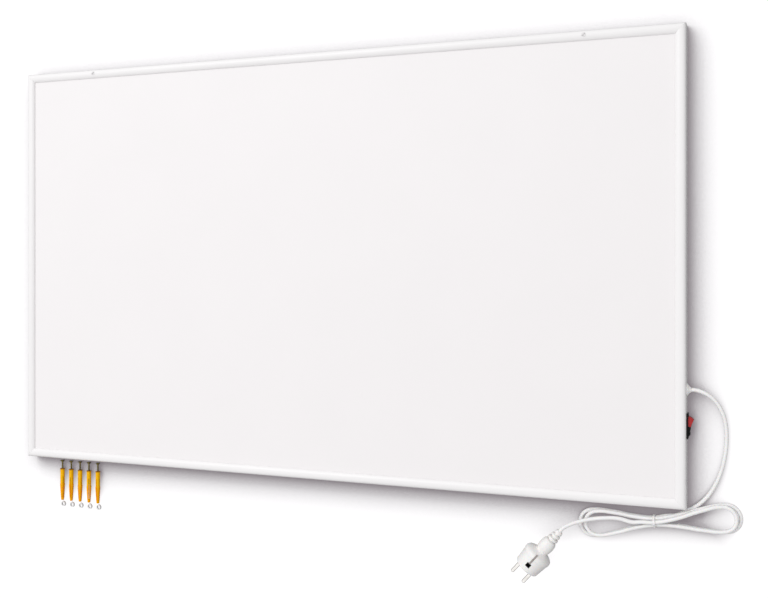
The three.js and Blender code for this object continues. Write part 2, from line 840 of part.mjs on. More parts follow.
// Points of the hank from the lead's end, over the left and right lobes, to the tail
function hankPoints() {
  const points = [];
  const put = (along, across, up) => points.push(new THREE.Vector3(...onHank(along, across, up)));
  const even = (from, to, i, count) => from + ((to - from) * i) / count;
  put(hankEndReach, spreadAt(hankLayers[0], hankEndReach), lifted(0, hankEndReach));
  put(hankEndReach - cordDiameter, spreadAt(hankLayers[0], hankEndReach), lifted(0, hankEndReach));
  for (let layer = 0; layer < hankLoops; layer += 1) {
    const shape = hankLayers[layer];
    for (let i = 0; i < stepsPerRun; i += 1) {
      const along = even(0, -shape.left, i, stepsPerRun);
      put(along, spreadAt(shape, along), lifted(layer, along));
    }
    for (let i = 0; i < stepsPerArc; i += 1) {
      const angle = even(0, Math.PI, i, stepsPerArc);
      const out = shape.half * Math.sin(angle);
      put(-shape.left - out, shape.half * Math.cos(angle), lifted(layer, shape.left));
    }
    for (const [from, to] of [
      [-shape.left, 0],
      [0, shape.right],
    ]) {
      for (let i = 0; i < stepsPerRun; i += 1) {
        const along = even(from, to, i, stepsPerRun);
        put(along, -spreadAt(shape, along), lifted(layer, along));
      }
    }
    for (let i = 0; i < stepsPerArc; i += 1) {
      const angle = even(0, Math.PI, i, stepsPerArc);
      const out = shape.half * Math.sin(angle);
      put(shape.right + out, -shape.half * Math.cos(angle), lifted(layer, shape.right));
    }
    const last = layer === hankLoops - 1;
    for (let i = 0; i < stepsPerRun; i += 1) {
      const along = even(shape.right, 0, i, stepsPerRun);
      const climb = smooth((climbFrom - along) / (climbFrom - climbTo));
      const next = hankLayers[Math.min(layer + 1, hankLoops - 1)];
      const under = spreadAt(next, along);
      const across = last
        ? (shape.half * (spreadAt(shape, along) - waistSpread)) / (shape.half - waistSpread)
        : spreadAt(shape, along) + (under - spreadAt(shape, along)) * climb;
      const rise = last
        ? topStrandHeight(Math.min(under - across, waistSpread))
        : strandPitch;
      put(along, across, lifted(layer, along) + rise * climb);
    }
  }
  const top = lifted(hankLoops - 1, 0) + topStrandHeight(waistSpread);
  put(0, 0, top);
  put(cordDiameter - hankEndReach, 1, top);
  put(-hankEndReach, 1, top);
  return points;
}
const hankRoute = hankPoints();

// Face-to-face joints leave a clearance along the strand
function beyond(end, before) {
  const along = end.clone().sub(before).normalize();
  const at = (distance) => end.clone().addScaledVector(along, distance);
  return [at(fit), at(fit + cordDiameter)];
}
const [leadMeets, leadStraight] = beyond(hankRoute[0], hankRoute[1]);
const [tailMeets, tailStraight] = beyond(hankRoute.at(-1), hankRoute.at(-2));

// From the bushing down to the surface, round the panel's corner and into the hank
const leadPoints = [
  [noseTip + fit, cordY, sideMiddle],
  [noseTip + fit + cordDiameter, cordY, sideMiddle],
  [523.5, -157.4, 8.2],
  [533.5, -165.6, 6.6],
  [541, -178, 4.8],
  [545.3, -193, 3.3],
  [546.5, -211, 2.5],
  [544.6, -233, 2.5],
  [539.2, -255, 2.5],
  [530.8, -274, 2.5],
  [519.8, -289.3, 2.5],
  [507.6, -299.6, 2.5],
  [496, -306, 2.7],
  leadStraight.toArray(),
  leadMeets.toArray(),
];

// From the tie over the left lobe and up to the plug
const plugAxis = [Math.cos(rad(plugTurn)), Math.sin(rad(plugTurn))];
const beforePlug = (distance) => [
  plugCordEnd[0] - plugAxis[0] * distance,
  plugCordEnd[1] - plugAxis[1] * distance,
  plugRadius,
];
const tailPoints = [
  tailMeets.toArray(),
  tailStraight.toArray(),
  [417, -318.5, 13.9],
  [400, -319.4, 14],
  [384, -322, 14.4],
  [370, -325.6, 16],
  [358.6, -329.6, 18.2],
  beforePlug(fit + cordDiameter),
  beforePlug(fit),
];

// A taut band round circles, between two radii from their middles
function bandAround(centres, low, high) {
  const outline = (radius) => {
    const points = [];
    for (let k = 0; k < 24; k += 1) {
      const angle = (k / 24) * 2 * Math.PI;
      const way = [Math.cos(angle), Math.sin(angle)];
      const far = centres.reduce((best, c) =>
        c[0] * way[0] + c[1] * way[1] > best[0] * way[0] + best[1] * way[1] ? c : best,
      );
      points.push(new THREE.Vector2(far[0] + radius * way[0], far[1] + radius * way[1]));
    }
    return points;
  };
  const shape = new THREE.Shape(outline(high));
  shape.holes.push(new THREE.Path(outline(low)));
  return shape;
}

function addCord() {
  const tube = (name, points, steps) =>
    place(heater, name, tubeThrough(points, cordRadius, 8, steps), cordPlastic);
  tube("power_cord_lead", leadPoints, 30);
  place(heater, "power_cord_hank", tubeOnRings(hankRoute, cordRadius, 6), cordPlastic);
  tube("power_cord_tail", tailPoints, 14);

  const low = lifted(0, 0);
  const strands = [
    [-waistSpread, low],
    [waistSpread, low],
    [-waistSpread, low + strandPitch],
    [waistSpread, low + strandPitch],
    [0, low + strandPitch + topStrandHeight(waistSpread)],
  ];
  const inner = cordRadius + tieClear;
  const band = new THREE.ExtrudeGeometry(bandAround(strands, inner, inner + tieThickness), {
    depth: tieWidth,
    bevelEnabled: false,
  });
  band.translate(0, 0, -tieWidth / 2);
  band.rotateX(Math.PI / 2).rotateZ(Math.PI / 2 + turn);
  place(heater, "cord_tie", band.translate(hankWaist[0], hankWaist[1], 0), whitePlastic);
}

// ---- Plug ----
function addPlug() {
  const plug = new THREE.Group();
  plug.position.set(plugCordEnd[0], plugCordEnd[1], plugRadius);
  plug.rotation.z = rad(plugTurn);
  heater.add(plug);
  const profile = [
    [0, 0],
    [4.3, 0],
    [4.9, 1],
    [5.3, 4],
    [4.6, 5],
    [4.9, 6],
    [6.1, 6.8],
    [6.3, 9],
    [5.4, 10],
    [5.7, 11.2],
    [7, 12],
    [7.3, 14.4],
    [6.6, 15.6],
    [7.2, 17],
    [8.8, 19.4],
    [9.6, 23],
    [9.8, 27],
    [9.3, 32],
    [8.2, 34.6],
    [8.8, 36],
    [13.8, 38.2],
    [plugRadius - 0.8, 41],
    [plugRadius, 43],
    [plugRadius, 46],
    [plugRadius - 0.7, 48],
    [plugRadius - 2.2, plugFaceAt - 1],
    [plugRadius - 3.2, plugFaceAt],
    [0, plugFaceAt],
  ];
  const body = alongX(turned(profile, 24));
  const half = plugPinSpacing / 2;
  const sockets = [-half, half].map((y) =>
    alongX(rod(plugPinRadius + fit, plugFaceAt - plugPinRoot, plugFaceAt + 1)).translate(0, y, 0),
  );
  const grooves = [-1, 1].map((side) => {
    const near = side * (plugRadius - clipGroove);
    const far = side * (plugRadius + 2);
    return block(
      [plugFaceAt - clipLength - fit, -clipWidth / 2 - fit, Math.min(near, far)],
      [plugFaceAt + 1, clipWidth / 2 + fit, Math.max(near, far)],
    );
  });
  place(plug, "plug_body", cut(body, ...sockets, ...grooves), whitePlastic);
  [-half, half].forEach((y, i) => {
    const tip = plugFaceAt + plugPinLength;
    const pin = turned(
      [
        [0, plugFaceAt - plugPinRoot + fit],
        [plugPinRadius, plugFaceAt - plugPinRoot + fit],
        [plugPinRadius, tip - 1.6],
        [0.7 * plugPinRadius, tip - 0.4],
        [0, tip],
      ],
      16,
    );
    place(plug, `plug_pin_${i + 1}`, alongX(pin).translate(0, y, 0), nickel);
  });
  [-1, 1].forEach((side, i) => {
    const foot = side * (plugRadius - clipGroove + fit);
    const head = foot + side * clipThickness;
    const clip = block(
      [plugFaceAt - clipLength, -clipWidth / 2, Math.min(foot, head)],
      [plugFaceAt - fit, clipWidth / 2, Math.max(foot, head)],
    );
    place(plug, `earth_clip_${i + 1}`, clip, nickel);
  });
}

// ---- Wall fixings, laid in a row below the panel ----
function addFixings() {
  const headTop = -halfY - fixingGapToFrame;
  const mouth = headTop - screwShown;
  const tip = mouth - wallPlugLength;
  const bore = screwShankRadius + fit;
  const screwTip = screwShown + screwInPlug;
  for (let i = 0; i < fixingCount; i += 1) {
    const row = new THREE.Group();
    row.position.set(fixingFirstX + i * fixingPitch, headTop, wallPlugRadius);
    row.rotation.x = Math.PI / 2;
    heater.add(row);
    const screw = turned(
      [
        [0, 0],
        [screwHeadRadius, 0],
        [screwHeadRadius, 0.5],
        [screwShankRadius, screwHeadHeight],
        [screwShankRadius, screwTip - screwPoint],
        [0, screwTip],
      ],
      12,
    );
    place(row, `wall_screw_${i + 1}`, screw, zinc);
    const end = screwShown + wallPlugLength;
    const sleeve = turned(
      [
        [0, screwTip + fit],
        [bore, screwTip - screwPoint],
        [bore, screwShown],
        [wallPlugRadius, screwShown],
        [wallPlugRadius, screwShown + wallPlugTaperFrom],
        [wallPlugTipRadius, end - 1],
        [wallPlugTipRadius - 1, end],
        [0, end],
      ],
      12,
    );
    place(row, `wall_plug_${i + 1}`, sleeve, orangePlastic);
    const spacer = turned(
      [
        [spacerBore, 0],
        [spacerRadius, 0],
        [spacerRadius, spacerLength],
        [spacerBore, spacerLength],
        [spacerBore, 0],
      ],
      16,
    );
    const stand = place(heater, `spacer_${i + 1}`, spacer, greyPlastic);
    stand.position.set(row.position.x, tip - spacerGap, 0);
  }
}

addFrame();
addCornerKeys();
addCrownScrews();
addSheets();
addRearTray();
addSwitch();
addCordEntry();
addWiring();
addCord();
addPlug();
addFixings();

// Least gap between strands of the hank that are not neighbours along it
function leastGap(points) {
  const fine = [];
  for (let i = 0; i < points.length - 1; i += 1) {
    for (let k = 0; k < 8; k += 1) fine.push(points[i].clone().lerp(points[i + 1], k / 8));
  }
  const along = [0];
  for (let i = 1; i < fine.length; i += 1) along.push(along[i - 1] + fine[i].distanceTo(fine[i - 1]));
  let least = Infinity;
  for (let i = 0; i < fine.length; i += 1) {
    for (let j = i + 1; j < fine.length; j += 1) {
      if (along[j] - along[i] > 5 * cordDiameter) {
        least = Math.min(least, fine[i].distanceTo(fine[j]) - cordDiameter);
      }
    }
  }
  return least;
}
console.log(`least gap of the hank to itself: ${leastGap(hankRoute).toFixed(2)} mm`);

export default heater;
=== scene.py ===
import json
import math

import bpy
from bpy.props import FloatProperty, FloatVectorProperty, IntProperty, PointerProperty
from bpy.types import Operator, Panel, PropertyGroup
from mathutils import Matrix, Vector


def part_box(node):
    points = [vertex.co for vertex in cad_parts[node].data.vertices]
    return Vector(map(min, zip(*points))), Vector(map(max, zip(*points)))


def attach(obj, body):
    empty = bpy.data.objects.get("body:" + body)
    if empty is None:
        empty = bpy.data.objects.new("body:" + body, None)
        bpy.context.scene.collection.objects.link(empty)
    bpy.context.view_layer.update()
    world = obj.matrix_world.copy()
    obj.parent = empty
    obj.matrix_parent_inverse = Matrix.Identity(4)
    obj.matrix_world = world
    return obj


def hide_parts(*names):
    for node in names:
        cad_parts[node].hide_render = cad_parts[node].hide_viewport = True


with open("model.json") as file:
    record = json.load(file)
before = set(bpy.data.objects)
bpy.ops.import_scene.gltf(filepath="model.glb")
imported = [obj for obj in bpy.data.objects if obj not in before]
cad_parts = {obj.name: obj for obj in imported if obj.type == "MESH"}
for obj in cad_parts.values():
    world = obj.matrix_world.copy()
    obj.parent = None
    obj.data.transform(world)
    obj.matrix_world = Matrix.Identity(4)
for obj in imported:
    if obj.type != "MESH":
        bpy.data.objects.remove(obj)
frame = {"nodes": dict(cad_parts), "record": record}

bl_info = {
    "name": "Infrared panel heater",
    "version": (1, 0, 0),
    "blender": (4, 5, 0),
    "location": "View3D > Sidebar > Heater",
    "description": "Models a framed wall heater with its switch, cord, plug and fixings",
    "category": "Object",
}

MM = 0.001
MERGE = 2e-6
QUARTER = math.pi / 2
PROUD = 0.3 * MM
PIVOT_INSET = 1.5 * MM
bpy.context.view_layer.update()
SOLIDS = frame["nodes"]
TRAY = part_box("rear_plate")
RIGHT_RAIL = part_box("frame_right")
TOP_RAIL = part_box("frame_top")
HALF_X = RIGHT_RAIL[1].x
HALF_Y = TOP_RAIL[1].y


# ---- Settings ----


def length(name, description, value):
    return FloatProperty(name=name, description=description, default=value, min=0.0, unit="LENGTH")


def turn(name, description, degrees):
    return FloatProperty(
        name=name, description=description, default=math.radians(degrees), unit="ROTATION"
    )


def tint(name, description, *value):
    return FloatVectorProperty(
        name=name, description=description, default=value, subtype="COLOR", size=3, min=0, max=1
    )


def amount(name, description, value):
    return FloatProperty(name=name, description=description, default=value, min=0.0)


class FrameSizes(PropertyGroup):
    """Sizes of the frame rails, front plate and rear tray"""

    width: length("Width", "Long side of the heater", 2 * HALF_X)
    height: length("Height", "Short side of the heater", 2 * HALF_Y)
    depth: length("Depth", "From the wall side to the crest of the frame", TOP_RAIL[1].z)
    face: length("Rail face", "How far a rail reaches over the front", 0.013)
    crest: length("Crest inset", "From the outer side to the highest line", 0.006)
    dome_rise: length("Dome rise", "Height of the rounded shoulder", 0.005)
    wall: length("Rail wall", "Sheet thickness of a rail", 0.0014)
    lip_drop: length("Lip drop", "From the crest down to the inner lip", 0.0022)
    lip_thickness: length("Lip thickness", "Thickness of the inner lip", 0.0011)
    lip_width: length("Lip width", "Width of the flat under the inner lip", 0.0036)
    rear_lip_thickness: length("Rear lip thickness", "Thickness of the rear lip", 0.0015)
    rear_lip_width: length("Rear lip width", "Width of the rear lip", 0.0127)
    corner_gap: length("Corner gap", "Taken off each end of a rail at its mitre", 0.00004)
    screw_head: length("Crown screw head", "Radius of a screw head in the top rail", 0.0027)
    screw_inset: length("Crown screw inset", "From the side of the heater to a screw", 0.125)


class SwitchSizes(PropertyGroup):
    """Sizes of the rocker switch and the cord bushing"""

    along: FloatProperty(
        name="Switch place", description="Switch middle along the side", default=-0.1974,
        unit="LENGTH",
    )
    bezel_length: length("Bezel length", "Long side of the bezel", 0.032)
    bezel_width: length("Bezel width", "Short side of the bezel", 0.014)
    bezel_thickness: length("Bezel thickness", "How far the bezel stands out", 0.0017)
    bezel_corner: length("Bezel corner", "Corner radius of the bezel", 0.0018)
    body_length: length("Body length", "Long side of the switch body", 0.0292)
    body_width: length("Body width", "Short side of the switch body", 0.0112)
    body_depth: length("Body depth", "Depth of the switch body in the rail", 0.0215)
    body_wall: length("Body wall", "Wall of the switch body", 0.001)
    rocker_radius: length("Rocker radius", "From the pivot to the rocker's ends", 0.0128)
    rocker_end: length("Rocker end height", "Pivot line to the rocker's raised ends", 0.0082)
    rocker_middle: length("Rocker middle height", "Pivot line to the rocker's middle", 0.0067)
    rocker_dish: length("Rocker dish", "Hollow of each finger face", 0.0003)
    rocker_rest: turn("Rocker at rest", "How far the rocker leans at rest", -13.0)
    cord_along: FloatProperty(
        name="Cord place", description="Cord exit along the side", default=-0.1528, unit="LENGTH"
    )
    flange: length("Bushing flange", "Radius of the bushing's flange", 0.0075)
    flange_thickness: length("Flange thickness", "Thickness of the flange", 0.0015)
    nose: length("Bushing nose", "Radius of the nose at the flange", 0.0062)
    nose_tip: length("Bushing tip", "Radius of the nose at its tip", 0.0034)
    nose_length: length("Nose length", "How far the nose stands out", 0.0036)


class CordSizes(PropertyGroup):
    """Sizes of the mains cord, its hank and the tie"""

    diameter: length("Diameter", "Diameter of the cord", 0.005)
    hank_turn: turn("Hank turn", "How far the hank is turned from the long side", 6.8)
    strand_pitch: length("Strand pitch", "Between the middles of strands that touch", 0.0058)
    waist_spread: length("Waist spread", "Half the distance of strands at the tie", 0.004)
    waist_lift: length("Waist lift", "Room for the tie under the strands", 0.0014)
    end_reach: length("End reach", "From the tie to where lead and tail join in", 0.02)
    climb_from: length("Climb start", "Where a strand starts to climb a layer", 0.08)
    climb_to: length("Climb end", "Where it has climbed", 0.038)
    tie_width: length("Tie width", "Width of the tie's band", 0.0026)
    tie_thickness: length("Tie thickness", "Thickness of the tie's band", 0.0007)
    tie_clear: length("Tie clearance", "Between the strands and the band", 0.0007)


class PlugSizes(PropertyGroup):
    """Sizes of the mains plug"""

    radius: length("Radius", "Radius of the plug's flange", 0.019)
    turned_by: turn("Turn", "Direction of the pins from the long side", 228.9)
    pin_radius: length("Pin radius", "Radius of a pin", 0.0024)
    pin_length: length("Pin length", "How far a pin stands out", 0.019)
    pin_spacing: length("Pin spacing", "Between the middles of the pins", 0.019)
    face_at: length("Face distance", "From the cord end to the pin face", 0.0665)
    clip_width: length("Contact width", "Width of an earth contact", 0.0021)
    clip_start: length("Contact start", "From the cord end to an earth contact", 0.0385)
    groove_end: length("Groove end", "From the cord end to the end of its groove", 0.0536)
    groove_depth: length("Groove depth", "Depth of the earth contact's groove", 0.004)
    pocket_length: length("Pocket length", "Length of the pocket after the groove", 0.0062)
    pocket_width: length("Pocket width", "Width of the pocket after the groove", 0.0062)
    pocket_depth: length("Pocket depth", "Depth of the pocket from the flange", 0.0075)


class KitSizes(PropertyGroup):
    """Sizes of the wall screws, wall plugs and spacers"""

    count: IntProperty(name="Count", description="Number of wall fixings", default=5, min=1)
    pitch: length("Pitch", "Between neighbours in the row", 0.01665)
    first: FloatProperty(
        name="First", description="Place of the first along the long side", default=-0.446,
        unit="LENGTH",
    )
    below: length("Below the frame", "Between the frame and the screw heads", 0.0056)
    shown: length("Screw shown", "Screw between its head and the wall plug", 0.013)
    screw_length: length("Screw length", "Whole length of a screw", 0.035)
    head_radius: length("Head radius", "Radius of a screw head", 0.0035)
    head_height: length("Head height", "Height of the countersunk head", 0.0026)
    thread_radius: length("Thread radius", "Radius over the thread", 0.0015)
    thread_pitch: length("Thread pitch", "Rise of the thread in a turn", 0.00135)
    plug_length: length("Wall plug length", "Length of a wall plug", 0.0495)
    plug_radius: length("Wall plug radius", "Radius of a wall plug", 0.0038)
    spacer_radius: length("Spacer radius", "Radius of a spacer", 0.004)
    spacer_bore: length("Spacer bore", "Radius of its bore", 0.0023)
    spacer_length: length("Spacer length", "Length of a spacer", 0.003)
    spacer_gap: length("Spacer gap", "From a wall plug's tip to its spacer", 0.0064)


class HeaterColours(PropertyGroup):
    """Colours of the heater and what comes with it"""

    frame: tint("Frame", "Powder coat of the rails", 0.93, 0.915, 0.92)
    plate: tint("Front plate", "Enamel of the heated plate", 0.93, 0.905, 0.912)
    rear: tint("Rear tray", "Powder coat of the tray", 0.86, 0.86, 0.85)
    cord: tint("Cord", "Sheath of the mains cord", 0.96, 0.95, 0.95)
    plug: tint("Plug", "Moulded body of the plug and the bushing", 0.95, 0.935, 0.925)
    bezel: tint("Bezel", "Housing of the switch", 0.008, 0.0075, 0.009)
    rocker: tint("Rocker", "Rocker of the switch", 0.5, 0.008, 0.01)
    mark: tint("Marks", "On and off marks of the rocker", 0.85, 0.83, 0.8)
    wall_plug: tint("Wall plug", "Upper part of a wall plug", 1.0, 0.52, 0.0)
    wall_plug_tip: tint("Wall plug tip", "Expanding part of a wall plug", 1.0, 0.42, 0.0)
    zinc: tint("Screw", "Yellow plated steel of the wall screws", 0.24, 0.2, 0.09)
    spacer: tint("Spacer", "Plastic of the spacers", 0.88, 0.87, 0.87)


class StudioSettings(PropertyGroup):
    """Light, floor and camera"""

    fill: amount("Fill", "Light from all sides", 0.785)
    one_side: amount("One side", "How much brighter the upper left side is", 0.3)
    horizon: amount("Horizon", "Light from the horizon, as a share of the fill", 0.62)
    zenith: amount("Zenith", "Light from above, as a share of the fill", 1.19)
    below: amount("Light below", "Light under the floor for the rear", 0.8)
    key_power: FloatProperty(
        name="Key power", description="Power of the large lamp", default=43.0, min=0.0,
        unit="POWER",
    )
    key_size: length("Key size", "Side of the large lamp", 1.6)
    lens: FloatProperty(
        name="Lens", description="Focal length for a 36 mm sensor", default=48.958,
        subtype="DISTANCE_CAMERA",
    )
    contact: length("Contact shade", "Reach of the soft shade round the object", 0.14)
    open_low: amount("Closed", "Openness of the floor at which the shade is deepest", 0.44)
    open_high: amount("Open", "Openness of the floor without any shade", 0.92)
    shade_low: amount("Shade low", "Tone of the deepest shade", 0.22)
    shade_near: length("Shade near", "How far from the heater the shade is whole", 0.018)
    shade_far: length("Shade far", "How far from the heater the shade ends", 0.06)
    shade_tint: tint("Shade tint", "Tone of the shade where it is deepest", 0.03, 0.0, 0.02)
    own_light: amount("Own light", "Share of the floor's tone that no shadow takes away", 0.8)
    paper: tint("Paper", "Tone of the floor to the eye", 1.0, 0.99, 1.0)
    paper_gain: amount("Paper gain", "Brightness of the floor to the eye", 1.13)


# ---- Modelling by hand ----


def choose(*pieces):
    """Select these pieces alone, with the first one active."""
    bpy.ops.object.select_all(action="DESELECT")
    for piece in pieces:
        piece.select_set(True)
    bpy.context.view_layer.objects.active = pieces[0]


def start_edit(piece, kind="VERT", merge=False):
    """Edit the whole piece, with what lies in one place merged first if that is asked."""
    choose(piece)
    bpy.ops.object.mode_set(mode="EDIT")
    bpy.ops.mesh.select_mode(type=kind)
    bpy.ops.mesh.select_all(action="SELECT")
    if merge:
        bpy.ops.mesh.remove_doubles(threshold=MERGE)


def end_edit():
    bpy.ops.object.mode_set(mode="OBJECT")


def draw_out(along):
    """In edit mode, extrude what is selected."""
    bpy.ops.mesh.extrude_region_move(TRANSFORM_OT_translate={"value": along})


def rename(piece, name):
    piece.name = name
    piece.data.name = name
    return piece


def at(x=0.0, y=0.0, z=0.0, turned=0.0, axis="Z"):
    """Turned about an axis and then moved."""
    return Matrix.Translation((x, y, z)) @ Matrix.Rotation(turned, 4, axis)


def settle(piece, matrix=None):
    """Turn and move the piece, and leave its place in its mesh."""
    choose(piece)
    if matrix is not None:
        piece.matrix_world = matrix
    bpy.ops.object.transform_apply(location=True, rotation=True, scale=True)
    return piece


def trace(name, points):
    """A line that is extruded from point to point."""
    bpy.ops.object.select_all(action="DESELECT")
    bpy.ops.mesh.primitive_plane_add(size=MM, location=points[0])
    piece = rename(bpy.context.object, name)
    start_edit(piece)
    bpy.ops.mesh.merge(type="CENTER")
    for start, end in zip(points, points[1:]):
        draw_out(Vector(end) - Vector(start))
    end_edit()
    return settle(piece)


def close_up(piece):
    """Merge doubles and turn every face outwards."""
    start_edit(piece, merge=True)
    bpy.ops.mesh.normals_make_consistent(inside=False)
    end_edit()
    return piece


def prism(name, outline, along):
    """A closed outline, filled and drawn out."""
    piece = trace(name, list(outline) + [outline[0]])
    start_edit(piece, merge=True)
    bpy.ops.mesh.edge_face_add()
    draw_out(Vector(along))
    end_edit()
    return close_up(piece)


def spun(name, profile, steps=48):
    """A turned piece about Z from (radius, height) points."""
    piece = trace(name, [(radius, 0.0, height) for radius, height in profile])
    start_edit(piece)
    bpy.ops.mesh.spin(steps=steps, angle=2 * math.pi, center=(0, 0, 0), axis=(0, 0, 1))
    end_edit()
    return close_up(piece)


def use_modifier(piece, kind, **settings):
    """Add a modifier with these settings and apply it."""
    choose(piece)
    modifier = piece.modifiers.new(kind.title(), kind)
    for setting, value in settings.items():
        setattr(modifier, setting, value)
    bpy.ops.object.modifier_apply(modifier=modifier.name)
    return piece


def combine(piece, operation, *others):
    """Join, cut or trim the piece by the others, which are used up."""
    for other in others:
        use_modifier(piece, "BOOLEAN", operation=operation, solver="EXACT", object=other)
        bpy.data.objects.remove(other)
    return piece


def carve(piece, *tools):
    """Cut the tools out of the piece."""
    return combine(piece, "DIFFERENCE", *tools)


def weld(piece, *others):
    """Make one solid of the piece and the others."""
    return combine(piece, "UNION", *others)


def soften(piece, width, segments=2, angle=40):
    """Round the edges that are sharper than the angle."""
    return use_modifier(
        piece, "BEVEL", width=width, segments=segments, limit_method="ANGLE",
        angle_limit=math.radians(angle), use_clamp_overlap=True, miter_outer="MITER_ARC",
    )


def smooth(piece, angle=35):
    """Shade curved faces smooth and keep flats flat and corners sharp."""
    choose(piece)
    bpy.ops.object.shade_smooth_by_angle(angle=math.radians(angle))
    return use_modifier(piece, "WEIGHTED_NORMAL", keep_sharp=True, weight=80)


def copy_of(piece, name):
    """A copy with its own mesh."""
    choose(piece)
    bpy.ops.object.duplicate(linked=False)
    return rename(bpy.context.object, name)


def put_on(piece, body, look, *nodes, slot=None):
    """Give the piece its finish, the body that it moves with and the solids it stands for."""
    piece.data.materials.clear()
    piece.data.materials.append(finish(look))
    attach(piece, body)
    if nodes:
        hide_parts(*nodes)
    return piece


def dress(material, *nodes):
    """Give solids that stay as they are a finish."""
    for node in nodes:
        if not SOLIDS[node].material_slots:
            SOLIDS[node].data.materials.append(material)
        for place in SOLIDS[node].material_slots:
            place.material = material


def bend(start, near, far, end, steps):
    """Points of a smooth bend, without its first."""
    points = []
    for step in range(1, steps + 1):
        t = step / steps
        weights = ((1 - t) ** 3, 3 * t * (1 - t) ** 2, 3 * t * t * (1 - t), t**3)
        pairs = list(zip(weights, (start, near, far, end)))
        points.append(tuple(sum(w * p[axis] for w, p in pairs) for axis in (0, 1)))
    return points


def rounded_rectangle(width, height, radius, steps=6):
    """Points of a rectangle with rounded corners about the middle."""
    points = []
    for corner, (right, up) in enumerate(((1, 1), (-1, 1), (-1, -1), (1, -1))):
        middle = Vector((right * (width / 2 - radius), up * (height / 2 - radius)))
        for step in range(steps + 1):
            angle = math.pi / 2 * (corner + step / steps)
            points.append(middle + radius * Vector((math.cos(angle), math.sin(angle))))
    return points


def ring(radius, steps=8):
    """Points of a circle about the middle."""
    return rounded_rectangle(2 * radius, 2 * radius, radius, steps)
def side_prism(name, outline, from_x, to_x, y, z):
    """A prism that stands out of the right side, from an outline of (along, up)."""
    return prism(name, [(from_x, y + p[0], z + p[1]) for p in outline], (to_x - from_x, 0, 0))


def flat_prism(name, outline, from_z, to_z, x=0.0, y=0.0):
    """A prism that stands up, from an outline of (x, y)."""
    return prism(name, [(x + p[0], y + p[1], from_z) for p in outline], (0, 0, to_z - from_z))


def slab(name, along, width, up):
    """A block from along[0] to along[1], centred across, between two heights."""
    low, high = sorted(up)
    half = width / 2
    outline = [(along[0], -half), (along[1], -half), (along[1], half), (along[0], half)]
    return flat_prism(name, outline, low, high)


# ---- Finishes ----


class Nodes:
    """A node tree, emptied, with the calls that fill it"""

    def __init__(self, owner):
        owner.use_nodes = True
        self.tree = owner.node_tree
        self.tree.nodes.clear()

    def feed(self, socket, source):
        """Give an input the output of a node or a value of its own."""
        if isinstance(source, bpy.types.NodeSocket):
            self.tree.links.new(source, socket)
        elif source is not None:
            socket.default_value = (*source, 1.0) if socket.type == "RGBA" else source

    def named(self, kind, inputs, **settings):
        """A node with its settings, and its inputs by name or number."""
        node = self.tree.nodes.new("ShaderNode" + kind)
        for setting, value in settings.items():
            setattr(node, setting, value)
        for key, source in inputs.items():
            self.feed(node.inputs[key], source)
        return node.outputs

    def add(self, kind, *sources, **settings):
        """As named, with its first inputs in order."""
        return self.named(kind, dict(enumerate(sources)), **settings)

    def work_out(self, operation, *sources):
        return self.add("Math", *sources, operation=operation)[0]

    def axis(self, place, axis):
        """One coordinate of a place."""
        return self.add("SeparateXYZ", place)[axis]

    def spread(self, value, low, high, start=0.3, end=0.7):
        """Bring a pattern's values from start..end to low..high."""
        return self.add("MapRange", value, start, end, low, high)["Result"]

    def mix(self, factor, first, second):
        """Blend two colours, or a colour over a pattern, by a factor."""
        return self.named("Mix", {0: factor, 6: first, 7: second}, data_type="RGBA")[2]

    def vary(self, pattern, first, second, start=0.3, end=0.7):
        """Go from the first colour to the second where a pattern rises from start to end."""
        return self.mix(self.spread(pattern, 0.0, 1.0, start, end), first, second)


class Finish(Nodes):
    """A material with one shader, patterned in object coordinates"""

    def __init__(self, name):
        self.material = bpy.data.materials.new(name)
        super().__init__(self.material)
        self.place = self.add("TexCoord")["Object"]

    def stretched(self, scale):
        return self.add("Mapping", self.place, None, None, scale)[0] if scale else self.place

    def noise(self, scale, detail=2.0, roughness=0.5, stretch=None):
        """Soft random pattern, in spots per metre."""
        inputs = {"Vector": self.stretched(stretch), "Scale": scale, "Detail": detail}
        return self.named("TexNoise", {**inputs, "Roughness": roughness})["Fac"]

    def cells(self, scale, feature="F1"):
        """Pattern of cells or crystals, in cells per metre."""
        inputs = {"Vector": self.place, "Scale": scale}
        outputs = self.named("TexVoronoi", inputs, feature=feature)
        return outputs["Color" if feature == "F1" else "Distance"]

    def bands(self, scale, axis, wobble=0.0, stretch=None):
        """Even bands across an axis."""
        inputs = {"Vector": self.stretched(stretch), "Scale": scale, "Distortion": wobble}
        return self.named("TexWave", inputs, bands_direction=axis)["Fac"]

    def made(self, colour, roughness, bumps, **values):
        """The material with its shader, over bumps of (pattern, height in metres)."""
        under = None
        for pattern, height in bumps:
            inputs = {"Distance": height, "Height": pattern, "Normal": under}
            under = self.named("Bump", inputs)["Normal"]
        inputs = {"Base Color": colour, "Roughness": roughness, "Normal": under}
        for name, value in values.items():
            inputs[SHADER_INPUTS[name]] = value
        self.add("OutputMaterial", self.named("BsdfPrincipled", inputs)["BSDF"])
        return self.material


SHADER_INPUTS = {
    "metal": "Metallic",
    "shine": "Specular IOR Level",
    "sheen": "Sheen Weight",
    "coat": "Coat Weight",
    "coat_roughness": "Coat Roughness",
    "soft": "Subsurface Weight",
    "soft_radius": "Subsurface Radius",
    "soft_scale": "Subsurface Scale",
}


def shaded(colour, by):
    return tuple(min(1.0, channel * by) for channel in colour)


